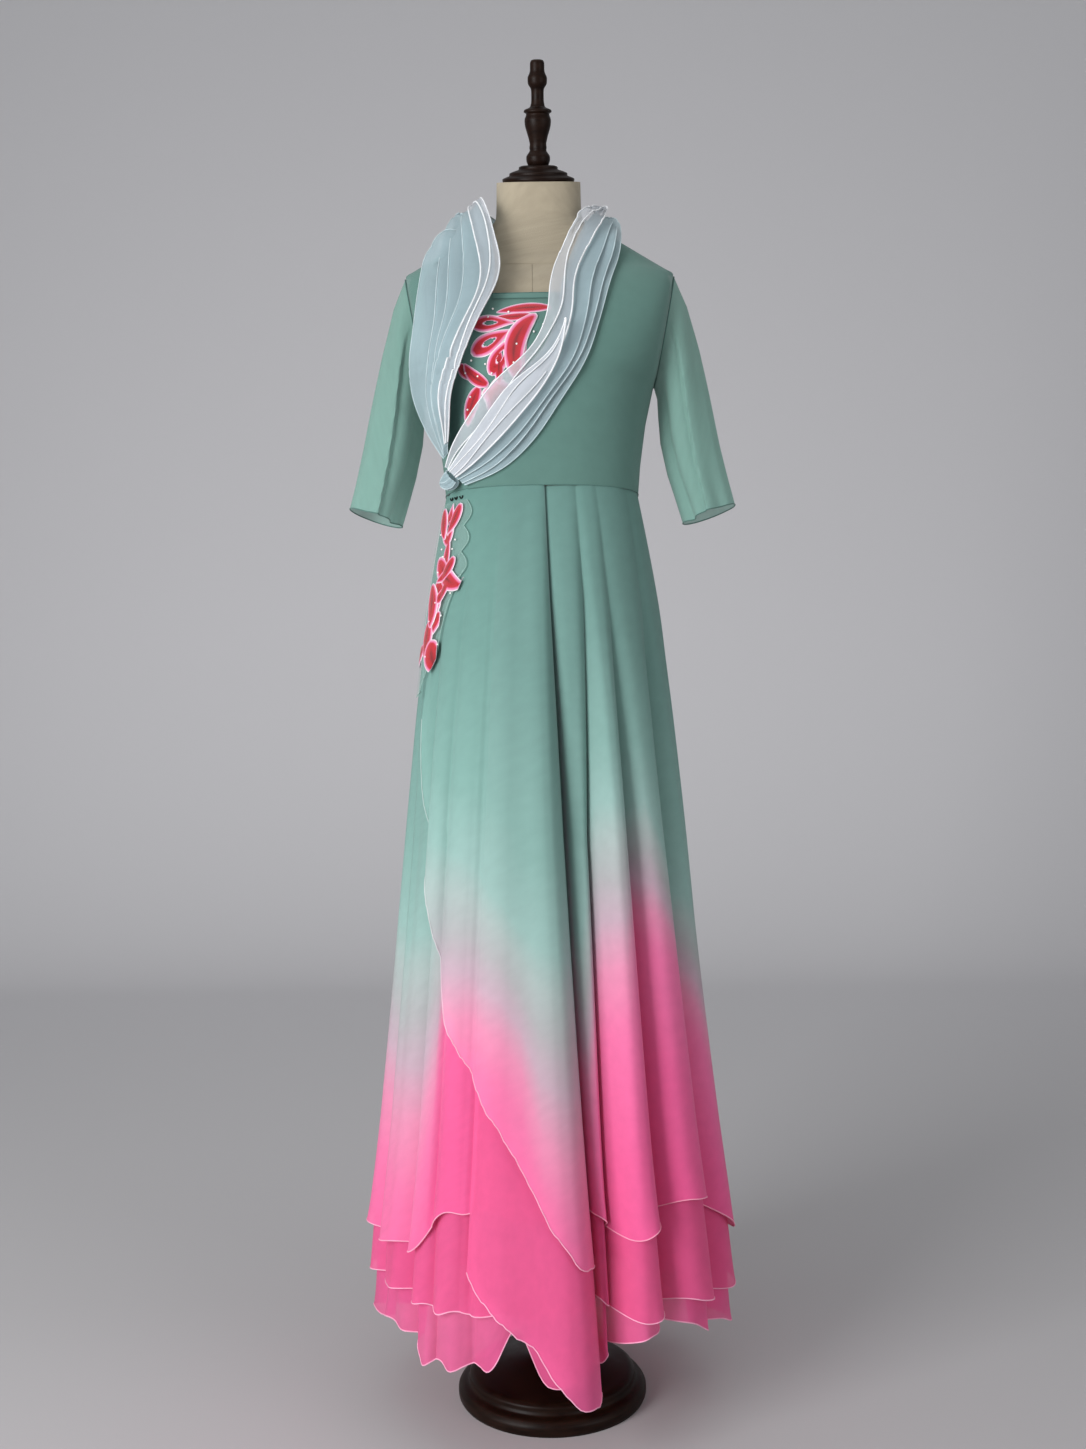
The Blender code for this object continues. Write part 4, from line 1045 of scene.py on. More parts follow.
def draped_point(column, z, layer, behind, hem, flare, seed):
    """A place on a skirt layer with its soft creases: some are shared by all layers, some are its own."""
    here = skirt_point(column, z, layer, behind)
    spare = FRONT_BLEND * smooth_step((column - FRONT_BLEND_START) / FRONT_BLEND_FOLDS)
    spare = min(spare, (PLEAT - column) / 2)
    if spare > 0:
        # The cloth in front of the knees hangs smoother than the rest
        beside = [skirt_point(column + n * spare, z, layer, behind) for n in (-1, -0.5, 0.5, 1)]
        here = sum(beside, here) / 5
    crease = FRONT_CREASE_DEPTH * math.exp(-(((column - FRONT_CREASE) / FRONT_CREASE_WIDTH) ** 2))
    out = Vector((here.x, here.y, 0)).normalized()
    fall = smooth_step((WAIST_Z - z) / 0.5)
    shared = fold_noise(column, z, 0.0, 1.1) * RIPPLE * (0.3 + 0.9 * fall)
    room = straight_value(LAYER_STEPS, "z", "step", z) * LAYER_RIPPLE
    own = fold_noise(column, z, seed, 1.4) * room * (0.4 + 0.6 * fall)
    near_hem = math.exp(-max(0.0, z - hem) / 0.030)
    frill = flare * near_hem * (0.6 + 0.8 * math.sin(2 * math.pi * (column * 1.2 + seed)))
    return here + out * (shared + own + frill - crease * fall)


def skirt_layer(name, layer, behind, columns, ends, dye_columns, materials, slot, flare, seed, held="hung"):
    top = WAIST_Z - SEAM_GAP
    piece = Piece(name)

    def surface(column, share):
        end = ends(column)
        return draped_point(column, top + (end - top) * share, layer, behind, end, flare, seed)

    def dye(column, share, point):
        if dye_columns is None:
            return 0.5 + 0.5 * fold_noise(column, point.z, seed)
        return dye_at(column if column <= FOLDS else column - FOLDS, point.z, dye_columns)

    rows = [1 - (1 - n / SKIRT_ROWS) ** 1.15 for n in range(SKIRT_ROWS + 1)]
    lattice = piece.grid(surface, columns, rows, dye)
    edge = [line[-1] for line in lattice]
    hem_dye = [dye(column, 1, point) for column, point in zip(columns, edge)]
    piece.cord(edge, HEM_CORD, sides=5, dye=hem_dye)
    made = piece.make(materials, slot, name.replace("_look", ""))
    piece.sheet(made, held, "form_torso")
    return lattice


def wavy_hem(tier, depth, seed):
    heights = {}

    def ends(column):
        if column not in heights:
            beside = [hem_height(FOLDS + column + n * HEM_BLEND, tier) for n in range(-3, 4)]
            wave = 0.6 * math.sin(2 * math.pi * (1.1 * column + seed))
            wave += 0.4 * fold_noise(column, 0.0, seed, 1.6)
            heights[column] = sum(beside) / len(beside) + depth * wave
        return heights[column]

    return ends


# The height of each wave along an overlay's edge, and how many there are to a fold
OVERLAY_EDGE_WAVES = ((0.0012, 3.1), (0.0008, 7.3))


all_round = spread(0, FOLDS, FOLDS * FINE_PER_FOLD)
for tier, layer, depth, flare, seed, dye_columns, look, slot in (
    ("tier_1", 0, 0.0030, 0.0030, 1.3, ("tier_green", "tier_pink"), (dip_dyed, dip_hem), "dip_dyed_chiffon"),
    ("tier_2", 1, 0.0035, 0.0030, 4.1, None, (pink, pink_hem), "pink_chiffon"),
    ("tier_3", 2, 0.0060, 0.0045, 7.7, None, (pink, pink_hem), "pink_chiffon"),
):
    hem = wavy_hem(tier, depth, seed)
    skirt_layer(f"skirt_{tier}_look", layer, 2, all_round, hem, dye_columns, look, slot, flare, seed)

for name, layer, start, edge, flare, seed, dye_columns, look, slot in (
    ("skirt_overlay_1", 0, OVERLAY_1_START, OVERLAY_1_EDGE, 0.0015, 2.9,
     ("overlay_green", "overlay_pink"), (dip_dyed, dip_hem), "dip_dyed_chiffon"),
    ("skirt_overlay_2", 1, OVERLAY_2_START, OVERLAY_2_EDGE, 0.0015, 5.3,
     None, (pink, pink_hem), "pink_chiffon"),
):
    def cut(column, edge=edge, seed=seed):
        turn = 2 * math.pi * (column + seed)
        wave = sum(height * math.sin(times * turn) for height, times in OVERLAY_EDGE_WAVES)
        return edge_height(edge, column) + wave

    columns = [n for n in all_round if n > start + 0.02]
    columns = [start, *columns[:-1], PLEAT - 0.02]
    skirt_layer(f"{name}_look", layer, 0, columns, cut, dye_columns, look, slot, flare, seed)


# The bodice

BODICE_COLUMNS = 36
NECK_COLUMNS = 24


def bodice_x(column, z):
    """-1 and 1 are the neck edges, and -2 and 2 the side seams or armholes."""
    width = straight_value(BODICE, "z", "half_width", z)
    beyond = max(0.0, abs(column) - 1)
    if beyond == 0:
        return column * NECK_EDGE_X
    start = math.asin(min(1.0, NECK_EDGE_X / width) ** (TORSO_POWER / 2))
    turn = min(start + (math.pi / 2 - start) * beyond, math.pi - TINY)
    return math.copysign(width * abs(math.sin(turn)) ** (2 / TORSO_POWER), column)


def bodice_panel(side, seed):
    def surface(column, z):
        x = bodice_x(column, z)
        y = bodice_y(x, z, side) + side * SEAM_GAP / 2
        soft = 0.0008 * noise.noise(Vector((x * 22 + seed, z * 12, side)))
        soft *= smooth_step((2 - abs(column)) / 0.3)
        return Vector((x, y + side * soft, z))

    return surface


side_columns = spread(-2, -1, BODICE_COLUMNS)
bodice_columns = side_columns[:-1] + spread(-1, 1, NECK_COLUMNS) + [-n for n in reversed(side_columns)][1:]
for name, side, neckline in (("bodice_front", -1, NECKLINE_Z), ("bodice_back", 1, BACK_NECKLINE_Z)):
    levels = spread(WAIST_Z + SEAM_GAP, neckline, 40)
    levels += spread(neckline, SHOULDER_NECK_Z, 4 if side > 0 else 22)[1:]
    piece = Piece(f"{name}_look")

    def holds(i, j, levels=levels, neckline=neckline):
        in_neck = BODICE_COLUMNS <= i < BODICE_COLUMNS + NECK_COLUMNS
        return not in_neck or levels[j + 1] <= neckline + TINY

    def tone(column, z, point):
        return 0.5

    surface = bodice_panel(side, 3.0 * side)
    lattice = piece.grid(surface, bodice_columns, levels, tone, holds)
    piece.cord([line[0] for line in lattice], 0.0007, dye=0.3, sides=5)
    for shoulder in (lattice[: BODICE_COLUMNS + 1], lattice[BODICE_COLUMNS + NECK_COLUMNS :]):
        piece.cord([line[-1] for line in shoulder], 0.0007, dye=0.3, sides=5)
    top = levels.index(neckline)
    neck = lattice[BODICE_COLUMNS : BODICE_COLUMNS + NECK_COLUMNS + 1]
    edge = list(reversed(neck[0][top:])) + [line[top] for line in neck[1:-1]] + neck[-1][top:]
    piece.cord(edge, 0.0008, dye=0.3)
    made = piece.make((bodice_green, seam_green), "green_chiffon", name)
    if side < 0:
        front_piece, bodice_front = piece, made
    else:
        piece.sheet(made, "stretched", "form_torso")

binding = Piece("neckline_binding_look")


def binding_point(column, turn):
    """A folded strip, round at its top and bottom."""
    x = column * (NECK_EDGE_X - BINDING_INSET)
    middle = NECKLINE_Z - BINDING_DROP - BINDING_DEPTH / 2
    z = middle + math.sin(turn) * BINDING_DEPTH / 2
    return Vector((x, bodice_y(x, z, -1) - BINDING_LIFT + 0.0006 * (1 - math.cos(turn)) - 0.0002, z))


binding.grid(binding_point, spread(-1, 1, 40), spread(-math.pi * 0.5, math.pi * 0.5, 8), lambda *_: 0.5)
stitches = [binding_point(n, -math.pi * 0.36) + Vector((0, -0.0003, 0)) for n in spread(-1, 1, 40)]
binding.cord(stitches, 0.0003, dye=0.3, sides=5)
neckline_binding = binding.make((bodice_green, seam_green), "green_chiffon", "neckline_binding")


# The sleeves

SLEEVE_HEM_CORD = 0.0008

# How deep the sheer cloth ripples, and how closely around and down the arm
SLEEVE_RIPPLE = 0.0018
SLEEVE_RIPPLES_AROUND = 1.6
SLEEVE_RIPPLES_DOWN = 2.5


def sleeve_shape(side, turn, place):
    """The solids' sleeve, with its long fold made sharper and soft creases round the elbow."""
    here = sleeve_point(side, turn, place)
    fade = smooth_step(place / 0.35)
    line = 82 + 22 * place
    lap = 0.0075 * smooth_step((turn - line + 45) / 45) * (1 - smooth_step((turn - line) / 4))
    inner = -0.0100 * math.exp(-(((turn - 150) / 14) ** 2))
    across = math.cos(math.radians(turn)) * SLEEVE_RIPPLES_AROUND
    along = math.sin(math.radians(turn)) * SLEEVE_RIPPLES_AROUND
    ripple = noise.noise(Vector((across, along + side, place * SLEEVE_RIPPLES_DOWN)))
    soft = SLEEVE_RIPPLE * ripple
    out = Vector((side * math.cos(math.radians(turn)), -math.sin(math.radians(turn)), 0))
    return here + out * (lap + inner + soft) * fade


for name, side in (("sleeve_left", -1), ("sleeve_right", 1)):
    piece = Piece(f"{name}_look")

    def surface(turn, place, side=side):
        return sleeve_shape(side, turn, place)

    turns = spread(180, 540, 144)
    places = spread(0, 1, 48)
    lattice = piece.grid(lambda turn, place: surface(turn % 360, place), turns, places, lambda *_: 0.5)
    piece.cord([line[-1] for line in lattice], SLEEVE_HEM_CORD, dye=0.5)
    piece.cord([line[0] for line in lattice], 0.0009, dye=0.5)
    made = piece.make((sleeve_green, seam_green), "sheer_green_chiffon", name)
    piece.sheet(made, "hung", "bodice_front_look", "bodice_back_look")


# The collars

PETAL_CORD = 0.0007
WHITE_CORD = 0.0011
PLY_LIFT = 0.0012
PETAL_BLEND = 0.25
TIP_STAND = 0.013
WHITE_TAPER_ROWS = 1.9
TIP_ROWS = 0.9


def petal_shape(rows, petal, place, across):
    """The solids' petal, smoother along its length, with its tip standing off and soft waves."""
    if petal.name.endswith("white"):
        across = 0.5 + (across - 0.5) * (0.1 + 0.9 * smooth_step((place - petal.start) / WHITE_TAPER_ROWS))
    spare = min(PETAL_BLEND, place - petal.start, petal.end - place)
    middle = petal_point(rows, petal, place, across)
    beside = [petal_point(rows, petal, place + n * spare, across) for n in (-1, 1)]
    here = sum(beside, middle) / 3
    down = petal_point(rows, petal, place + TINY, across) - middle
    out = petal_point(rows, petal, place, across + TINY) - middle
    side = 1 if rows is COLLAR_RIGHT else -1
    normal = (side * down.cross(out)).normalized()
    sewn = smooth_step((place - len(rows) + PETAL_SEWN_END + PETAL_SEWN_ROWS) / PETAL_SEWN_ROWS)
    seed = petal.level * 2.7 + side
    wave = noise.noise(Vector((across * 2.2 + seed, place * 0.9, seed)))
    stand = TIP_STAND * (1 - smooth_step((place - petal.start) / TIP_ROWS)) if petal.start else 0.0
    return here + normal * (wave * 0.0016 * (1 - sewn) + stand * (0.3 + 0.7 * across))


def folded_ply(piece, cords, surface, places, low, high, swing, size):
    """Cloth folded back over the piece from one share of its width to another, with a corded edge."""

    def ply(share, place):
        edge = high + swing * math.sin(place * 1.9 + 9 * high)
        return surface(low + (edge - low) * share, place) + Vector((0, -PLY_LIFT, 0))

    folded = piece.grid(ply, spread(0, 1, 7), places, lambda *_: 0.5, beside=True)
    cords.cord(folded[-1], size, slot=0, dye=0.5)


for rows, petals in ((COLLAR_LEFT, PETALS_LEFT), (COLLAR_RIGHT, PETALS_RIGHT)):
    for petal in petals:
        piece = Piece(f"{petal.name}_look")
        cords = Piece(f"{petal.name}_cord")

        def surface(across, place, rows=rows, petal=petal):
            return petal_shape(rows, petal, place, across)

        places = [petal.start + (petal.end - petal.start) * n / 90 for n in range(91)]
        if petal.start:
            places = [petal.start + PETAL_TIP * (n / 12) ** 2 for n in range(12)] + [
                n for n in places if n >= petal.start + PETAL_TIP
            ]
        lattice = piece.grid(surface, spread(0, 1, 14), places, lambda *_: 0.5)
        is_white = "petal" not in petal.name
        size = WHITE_CORD if is_white else PETAL_CORD
        if petal.start:
            path = list(reversed(lattice[0])) + [line[0] for line in lattice[1:-1]] + lattice[-1]
            cords.cord(path, size, slot=0, dye=0.5)
        else:
            cords.cord(lattice[0], size, slot=0, dye=0.5)
            cords.cord(lattice[-1], size, slot=0, dye=0.5)
        doubled = [n for n in places if n > places[0] + 0.4]
        if petal.name.endswith("inner"):
            folded_ply(piece, cords, surface, doubled, 0, 0.44, 0.16, size)
        if petal.name.endswith("white"):
            folded_ply(piece, cords, surface, doubled, 0, 0.30, 0.08, size * 0.8)
            folded_ply(piece, cords, surface, doubled[14:], 0.3, 0.68, 0.10, size * 0.7)
        if petal.name.endswith("white"):
            look, cord_look = dense_white, white_cord
        elif is_white:
            look, cord_look = white, white_cord
        else:
            look, cord_look = blue, blue_cord
        slot = "white_organza" if is_white else "blue_grey_organza"
        made = piece.make((look,), slot, petal.name)
        trim = cords.make((cord_look,), slot)
        piece.sheet(made, "draped", "bodice_front_look", "bodice_back_look", trims=(trim,))


# The knot: the petals' ends, pleated into one another

knot = Piece("collar_knot_look")
KNOT_PLEATS = 7


def knot_point(turn, share):
    along = share * KNOT[-1].along
    centre, out, lift = knot_ring(along)
    pleat = 0.92 + 0.16 * abs(math.sin(turn * KNOT_PLEATS / 2))
    half_height = row_value(KNOT, "along", "half_height", along) * pleat
    half_depth = row_value(KNOT, "along", "half_depth", along) * pleat
    return centre + out * (half_height * math.cos(turn)) + lift * (half_depth * math.sin(turn))


knot.grid(knot_point, spread(0, 2 * math.pi, 84), spread(0, 1, 20), lambda *_: 0.5)
for n in range(KNOT_PLEATS):
    turn = 2 * math.pi * (n + 0.5) / KNOT_PLEATS
    knot.cord([knot_point(turn, share) for share in spread(0, 0.95, 12)], 0.0006, dye=0.5, sides=5)
made = knot.make((blue, blue_cord), "blue_grey_organza", "collar_knot")
knot.sheet(made, "gathered", "collar_right_petal_3_look")


# The embroidery: raised satin stitch in bands from a white edge to a crimson middle

STITCH_RISE = 0.0011
STITCHED_ROWS = 30
STITCHED_COLUMNS = 16
SLOT_PLACE = 0.58
SLOT_WIDTH = 0.24
STITCH_OVERLAP = 0.0006


def chest_place(x, z, lift):
    return Vector((x, bodice_y(x, z, -1) - lift, z))


def stitched_petal(piece, place, motif, over=0.0):
    """One petal or leaf, from where it grows. Its hole is a slot left open in its middle."""
    spine = []
    x, z = motif.x, motif.z
    for n in range(STITCHED_ROWS + 1):
        turn = math.radians(motif.angle + motif.curl * n / STITCHED_ROWS)
        spine.append((x, z, turn))
        x += math.cos(turn) * motif.length / STITCHED_ROWS
        z += math.sin(turn) * motif.length / STITCHED_ROWS

    def half_width(s):
        return motif.width * math.sin(math.pi * (0.012 + 0.976 * s) ** motif.blunt) ** 0.62

    def surface(t, n):
        x, z, turn = spine[n]
        half = half_width(n / STITCHED_ROWS)
        dome = math.sqrt(max(0.0, 1 - t * t)) * min(1.0, half / 0.004)
        lift = 0.0003 + over + STITCH_RISE * dome
        return place(x - math.sin(turn) * half * t, z + math.cos(turn) * half * t, lift)

    def from_slot(t, s):
        """Under 1 in the slot, and a little more just round it."""
        return math.hypot((s - SLOT_PLACE) / motif.hole, t / SLOT_WIDTH) if motif.hole else 9.0

    def shade(t, n, point):
        s = n / STITCHED_ROWS
        inside = min(half_width(s) * (1 - abs(t)), min(s, 1 - s) * motif.length)
        value = min(1.0, inside / (motif.width * 0.95))
        return value * min(1.0, max(0.0, from_slot(t, s) - 1.1) * 2.2)

    across = spread(-1, 1, STITCHED_COLUMNS)

    def holds(i, j):
        return from_slot((across[i] + across[i + 1]) / 2, (j + 0.5) / STITCHED_ROWS) > 1

    piece.grid(surface, across, range(STITCHED_ROWS + 1), shade, holds)


def stitched_flower(piece, place, centre, radius, lobes, turn_deg=0.0):
    """A round flower head with a lobed edge."""

    def surface(turn, share):
        reach = radius * (1 + 0.10 * math.cos(lobes * turn)) * share
        angle = turn + math.radians(turn_deg)
        x = centre[0] + reach * math.cos(angle)
        z = centre[1] + reach * math.sin(angle)
        return place(x, z, 0.0004 + STITCH_RISE * math.sqrt(max(0.0, 1 - share**2)))

    piece.grid(surface, spread(0, 2 * math.pi, 48), spread(1, 0.02, 10), lambda turn, share, point: 1 - share)


Motif = namedtuple("Motif", "x z angle length width curl blunt hole")
CHEST_MOTIFS = [
    Motif(0.014, 1.4300, 177, 0.070, 0.0072, 16, 0.8, 0),
    Motif(-0.010, 1.4200, 190, 0.052, 0.0056, -14, 0.8, 0),
    Motif(-0.030, 1.4080, 172, 0.058, 0.0120, 20, 1.7, 0.14),
    Motif(-0.032, 1.4010, 204, 0.064, 0.0140, 12, 1.7, 0.14),
    Motif(-0.032, 1.3950, 238, 0.062, 0.0130, 2, 1.7, 0.14),
    Motif(-0.004, 1.4200, 214, 0.104, 0.0140, 92, 0.9, 0),
    Motif(-0.018, 1.3930, 244, 0.050, 0.0064, 46, 0.8, 0),
    Motif(-0.052, 1.3720, 266, 0.044, 0.0066, 8, 0.8, 0),
    Motif(-0.066, 1.3300, 158, 0.044, 0.0084, -44, 0.8, 0),
    Motif(-0.078, 1.3300, 238, 0.050, 0.0094, 26, 0.8, 0),
    Motif(-0.104, 1.3600, 300, 0.030, 0.0072, 30, 0.8, 0),
]
CHEST_PEARLS = [
    (-0.060, 1.4290), (-0.066, 1.4180), (0.004, 1.4060), (-0.014, 1.3720), (-0.088, 1.3620),
    (-0.096, 1.3480), (-0.090, 1.3180), (-0.008, 1.3960), (-0.070, 1.3560), (-0.030, 1.3800),
    (-0.080, 1.3420), (-0.094, 1.3030), (-0.060, 1.2920), (0.018, 1.4140), (-0.040, 1.4240),
    (-0.034, 1.3560), (-0.062, 1.3440), (-0.088, 1.2860),
]
stitched = Piece("bodice_embroidery")
pearls = Piece("bodice_pearls")
for n, motif in enumerate(CHEST_MOTIFS):
    stitched_petal(stitched, chest_place, motif, STITCH_OVERLAP * (n % 3))
stitched_flower(stitched, chest_place, (-0.053, 1.3160), 0.0210, 5, 20)
for x, z in CHEST_PEARLS:
    pearls.ball(chest_place(x, z, 0.0022), 0.0014)
trims = [
    neckline_binding,
    stitched.make((thread,), "embroidered_net", sharp_deg=40),
    pearls.make((pearl,), "embroidered_net"),
]
front_piece.sheet(bodice_front, "stretched", "form_torso", trims=trims)


# The embroidered net on the hip

NET_COLUMNS = 40
NET_ROWS = 80
NET_WIDTH = 0.085
SCALLOP_DEPTH = 0.13


def net_bottom(column):
    return edge_height(APPLIQUE_EDGE, APPLIQUE_START + (APPLIQUE_END - APPLIQUE_START) * column)


def net_place(column, z, lift=0.0):
    here = skirt_point(APPLIQUE_START + (APPLIQUE_END - APPLIQUE_START) * column, z, APPLIQUE_LAYER)
    out = Vector((here.x, here.y, 0)).normalized()
    return here + out * lift


def scallop(column, share):
    """The net's free edge: wide scallops down its right side and along its foot."""
    reach = 1 - SCALLOP_DEPTH * (1 - abs(math.sin(math.pi * 3 * share))) * column
    foot = 1 - 0.05 * (1 - abs(math.sin(math.pi * 2.5 * column))) * share
    return net_place(column * reach, APPLIQUE_TOP_Z + (net_bottom(column) - APPLIQUE_TOP_Z) * share * foot)


hip = Piece("hip_applique_look")
lattice = hip.grid(scallop, spread(0, 1, NET_COLUMNS), spread(0, 1, NET_ROWS), lambda *_: 0.5)
edge = [line[-1] for line in lattice] + list(reversed(lattice[-1]))[1:]
hip.cord(edge, 0.0006, dye=0.5)
hip_net = hip.make((net, net_edge), "embroidered_net", "hip_applique")


def hip_place(across, height, lift):
    """across is in metres from the net's left edge, and height from the floor."""
    column = min(1.0, max(0.0, across / NET_WIDTH))
    return net_place(column, min(APPLIQUE_TOP_Z, max(net_bottom(column), height)), lift + 0.0004)


HIP_MOTIFS = [
    Motif(0.046, 1.1900, 264, 0.058, 0.0130, 10, 1.4, 0.14),
    Motif(0.066, 1.1880, 250, 0.046, 0.0100, -24, 0.8, 0),
    Motif(0.030, 1.1850, 274, 0.044, 0.0080, 16, 0.8, 0),
    Motif(0.048, 1.1420, 262, 0.056, 0.0074, 16, 0.8, 0),
    Motif(0.034, 1.1200, 286, 0.070, 0.0140, 74, 0.9, 0),
    Motif(0.066, 1.1180, 240, 0.046, 0.0088, -34, 0.8, 0),
    Motif(0.042, 1.0940, 250, 0.070, 0.0110, 20, 0.8, 0),
    Motif(0.060, 1.0900, 238, 0.050, 0.0076, -22, 0.8, 0),
    Motif(0.026, 1.0860, 284, 0.060, 0.0090, -18, 0.8, 0),
    Motif(0.044, 1.0480, 236, 0.044, 0.0080, 22, 0.8, 0),
    Motif(0.030, 1.0380, 262, 0.052, 0.0084, 12, 0.8, 0),
    Motif(0.038, 1.0120, 262, 0.052, 0.0120, 44, 0.9, 0),
    Motif(0.022, 1.0060, 230, 0.034, 0.0080, 24, 0.8, 0),
]
HIP_PEARLS = [
    (0.030, 1.1500), (0.064, 1.1400), (0.036, 1.1300), (0.060, 1.1280), (0.034, 1.1000), (0.066, 1.0700),
    (0.036, 1.0600), (0.052, 1.0420), (0.030, 1.0360), (0.050, 0.9900), (0.030, 0.9900), (0.040, 1.1200),
]
stitched = Piece("hip_embroidery")
pearls = Piece("hip_pearls")
for n, motif in enumerate(HIP_MOTIFS):
    stitched_petal(stitched, hip_place, motif, STITCH_OVERLAP * (n % 3))
for x, z in HIP_PEARLS:
    pearls.ball(hip_place(x, z, 0.0018), 0.0013)
trims = [
    stitched.make((thread,), "embroidered_net", sharp_deg=40),
    pearls.make((pearl,), "embroidered_net"),
]
hip.sheet(hip_net, "hung", "skirt_overlay_1_look", trims=trims)


# The form and the stand

form = Piece("form_torso_look")


def form_point(turn, z):
    turn = math.radians(turn)
    lean = smooth_step((z - SHOULDER_NECK_Z) / (NECK_TOP_Z - SHOULDER_NECK_Z)) * NECK_TILT
    half_width = row_value(FORM, "z", "half_width", z)
    reach = row_value(FORM, "z", "back" if math.sin(turn) > 0 else "front", z)
    across = math.copysign(abs(math.cos(turn)) ** (2 / TORSO_POWER), math.cos(turn))
    along = math.copysign(abs(math.sin(turn)) ** (2 / TORSO_POWER), math.sin(turn))
    y = along * reach
    return Vector((half_width * across, y * math.cos(lean), z + y * math.sin(lean)))


# Above this height the form's shape changes faster, and its rings lie closer
SHOULDER_START_Z = 1.48
form_levels = spread(FORM_BOTTOM_Z, SHOULDER_START_Z, 60)
form_levels += spread(SHOULDER_START_Z, SHOULDER_NECK_Z, 30)[1:]
form_levels += spread(SHOULDER_NECK_Z, NECK_TOP_Z, 16)[1:]
lattice = form.grid(form_point, spread(0, 360, 120), form_levels, lambda *_: 0.5)
for level in (form_levels[0], NECK_TOP_Z):
    ring = [form_point(turn, level) for turn in spread(0, 360, 120)[:-1]]
    start = len(form.points)
    form.points += ring
    form.dye += [0.5] * len(ring)
    form.uvs += [(point.x, point.y) for point in ring]
    form.faces.append(tuple(start + n for n in range(len(ring))))
    form.slots.append(0)
NECK_SEAM_Z = 1.503
neck_seam = [form_point(turn, NECK_SEAM_Z) for turn in spread(0, 360, 120)[:-1]]
form.cord(neck_seam, 0.0005, slot=0, closed=True, dye=0.2)
front_seam = [form_point(268, z) for z in spread(1.42, NECK_SEAM_Z, 20)]
form.cord(front_seam, 0.0005, slot=0, dye=0.2)
form.make((linen,), "linen", "form_torso")


# Rings between two of a turned profile's own, which round its mouldings
LATHE_STEPS = 4


def lathe(name, profile, place, sides=96):
    """A turned piece with its mouldings rounded between the solids' rings."""
    piece = Piece(name)
    rows = [(0.0, profile[0].height)]
    for low, high in zip(profile, profile[1:]):
        for n in range(LATHE_STEPS):
            radius = low.radius + (high.radius - low.radius) * n / LATHE_STEPS
            height = low.height + (high.height - low.height) * n / LATHE_STEPS
            rows.append((radius, height))
    rows += [(profile[-1].radius, profile[-1].height), (0.0, profile[-1].height)]
    softened = rows[:1]
    for before, here, after in zip(rows, rows[1:], rows[2:]):
        softened.append(tuple(b * 0.5 + (a + c) * 0.25 for a, b, c in zip(before, here, after)))
    softened.append(rows[-1])
    softened[1] = rows[1]

    def surface(turn, n):
        radius, height = softened[n]
        radius = max(radius, 0.0002)
        return place @ Vector((radius * math.cos(turn), radius * math.sin(turn), height))

    piece.grid(surface, spread(0, 2 * math.pi, sides), range(len(softened)))
    return piece.make((wood,), "turned_wood", name.replace("_look", ""), sharp_deg=50)


neck_top = Matrix.Translation((0, 0, NECK_TOP_Z)) @ Matrix.Rotation(NECK_TILT, 4, "X")
cap_top = CAP_PROFILE[-1].height + 2 * SEAM_GAP
lathe("form_base_look", BASE_PROFILE, Matrix())
lathe("form_neck_cap_look", CAP_PROFILE, neck_top @ Matrix.Translation((0, 0, SEAM_GAP)))
lathe("form_finial_look", FINIAL_PROFILE, neck_top @ Matrix.Translation((0, 0, cap_top)), sides=64)
for name in ("form_pole", "hook_1", "hook_2", "hook_3"):
    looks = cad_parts[name].data.materials
    looks.clear()
    looks.append(metal)


# Floor, light and camera

WALL_Y = 4.2
WALL_CURVE = 1.4
WALL_CURVE_STEPS = 24
WALL_TOP_Z = 6.0
FLOOR_FRONT_Y = -5.0
HALF_STAGE = 6.0
# Behind this line the backdrop is painted paler towards the far wall: painted light where the lamps hardly
# reach
PAINTED_LIGHT_FROM_Y = 0.3


def backdrop_material():
    """Matt paint, darker on the floor by the lamps and paler on the far wall that they hardly reach: painted
    light that evens out the backdrop's brightness.
    """
    material = bpy.data.materials.new("pale_backdrop")
    material.use_nodes = True
    tree = material.node_tree
    shader = tree.nodes["Principled BSDF"]
    shader.inputs["Roughness"].default_value = 0.9
    shader.inputs["Specular IOR Level"].default_value = 0.1
    place = tree.nodes.new("ShaderNodeTexCoord")
    split = tree.nodes.new("ShaderNodeSeparateXYZ")
    reach = tree.nodes.new("ShaderNodeMapRange")
    reach.inputs["From Min"].default_value = PAINTED_LIGHT_FROM_Y
    reach.inputs["From Max"].default_value = WALL_Y
    # Floor colour, then the paler far-wall colour, which is painted light standing in for lamp light that
    # does not reach the wall
    ramp = tree.nodes.new("ShaderNodeValToRGB")
    ramp.color_ramp.elements[0].color = (0.47, 0.46, 0.47, 1)
    ramp.color_ramp.elements[1].color = (0.78, 0.77, 0.79, 1)
    tree.links.new(place.outputs["Object"], split.inputs[0])
    tree.links.new(split.outputs["Y"], reach.inputs["Value"])
    tree.links.new(reach.outputs["Result"], ramp.inputs["Fac"])
    tree.links.new(ramp.outputs["Color"], shader.inputs["Base Color"])
    return material


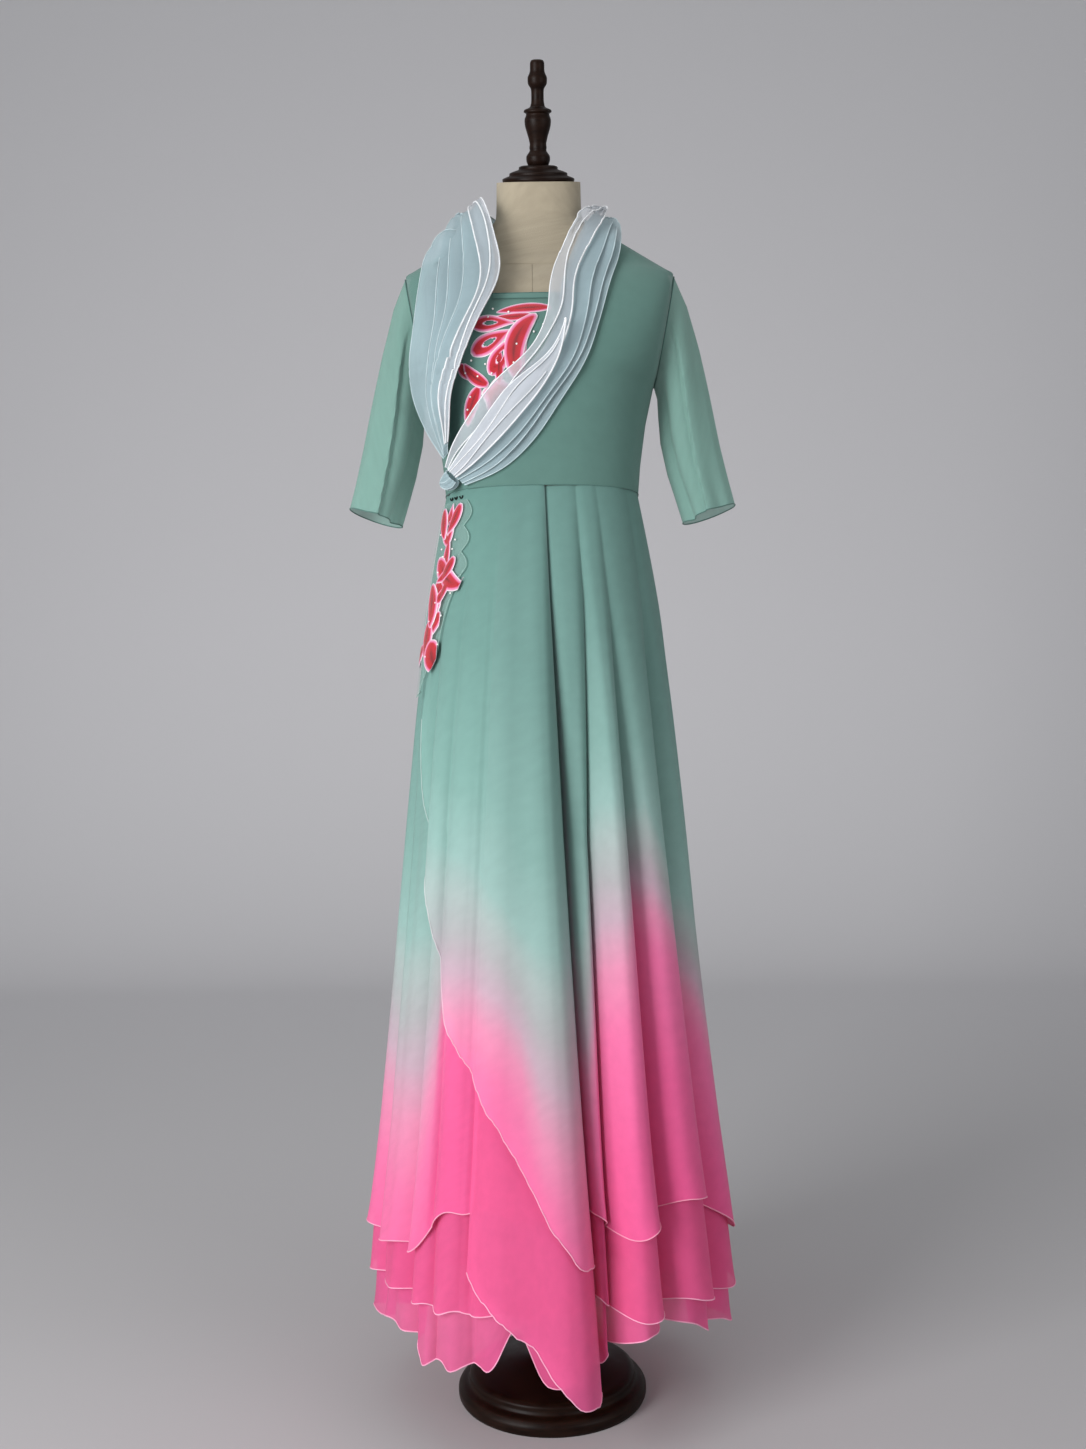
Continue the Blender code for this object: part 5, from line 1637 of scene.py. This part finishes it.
def stage_mesh():
    """A floor that curves up into a wall, far enough back for a camera behind the dress."""
    start = WALL_Y - WALL_CURVE
    profile = [(FLOOR_FRONT_Y, 0.0), (start, 0.0)]
    for n in range(1, WALL_CURVE_STEPS + 1):
        turn = math.pi / 2 * n / WALL_CURVE_STEPS
        profile.append((start + WALL_CURVE * math.sin(turn), WALL_CURVE * (1 - math.cos(turn))))
    profile.append((WALL_Y, WALL_TOP_Z))
    points = []
    faces = []
    for y, z in profile:
        points += [(-HALF_STAGE, y, z), (HALF_STAGE, y, z)]
    for n in range(len(profile) - 1):
        faces.append((2 * n, 2 * n + 1, 2 * n + 3, 2 * n + 2))
    mesh = bpy.data.meshes.new("studio_backdrop")
    mesh.from_pydata(points, [], faces)
    mesh.shade_smooth()
    made = bpy.data.objects.new("studio_backdrop", mesh)
    bpy.context.scene.collection.objects.link(made)
    mesh.materials.append(backdrop_material())


stage_mesh()


def area_light(name, place, aim, size, power, colour=(1, 1, 1)):
    data = bpy.data.lights.new(name, "AREA")
    data.shape = "RECTANGLE"
    data.size, data.size_y = size
    data.energy = power
    data.color = colour
    made = bpy.data.objects.new(name, data)
    facing = (Vector(aim) - Vector(place)).to_track_quat("-Z", "Y").to_matrix().to_4x4()
    made.matrix_world = Matrix.Translation(place) @ facing
    bpy.context.scene.collection.objects.link(made)


area_light("key_left", (-2.0, -2.2, 1.15), (0, 0, 0.68), (1.4, 2.4), 114)
area_light("fill_right", (2.4, -2.2, 1.2), (0, 0, 0.9), (1.8, 2.0), 26)
area_light("top", (0.0, -0.4, 3.4), (0, 0.2, 0), (2.6, 2.0), 16)

world = bpy.data.worlds.new("studio")
world.use_nodes = True
world.node_tree.nodes["Background"].inputs["Color"].default_value = (0.80, 0.82, 0.84, 1)
world.node_tree.nodes["Background"].inputs["Strength"].default_value = 0.38
bpy.context.scene.world = world
bpy.context.scene.view_settings.view_transform = "Standard"

camera_data = bpy.data.cameras.new("photo_view")
camera_data.lens = CAMERA_LENS
camera = bpy.data.objects.new("photo_view", camera_data)
level = Matrix.Rotation(math.pi / 2, 4, "X") @ Matrix.Rotation(-CAMERA_ROLL, 4, "Z")
camera.matrix_world = Matrix.Translation(CAMERA_PLACE) @ level
bpy.context.scene.collection.objects.link(camera)
bpy.context.scene.camera = camera
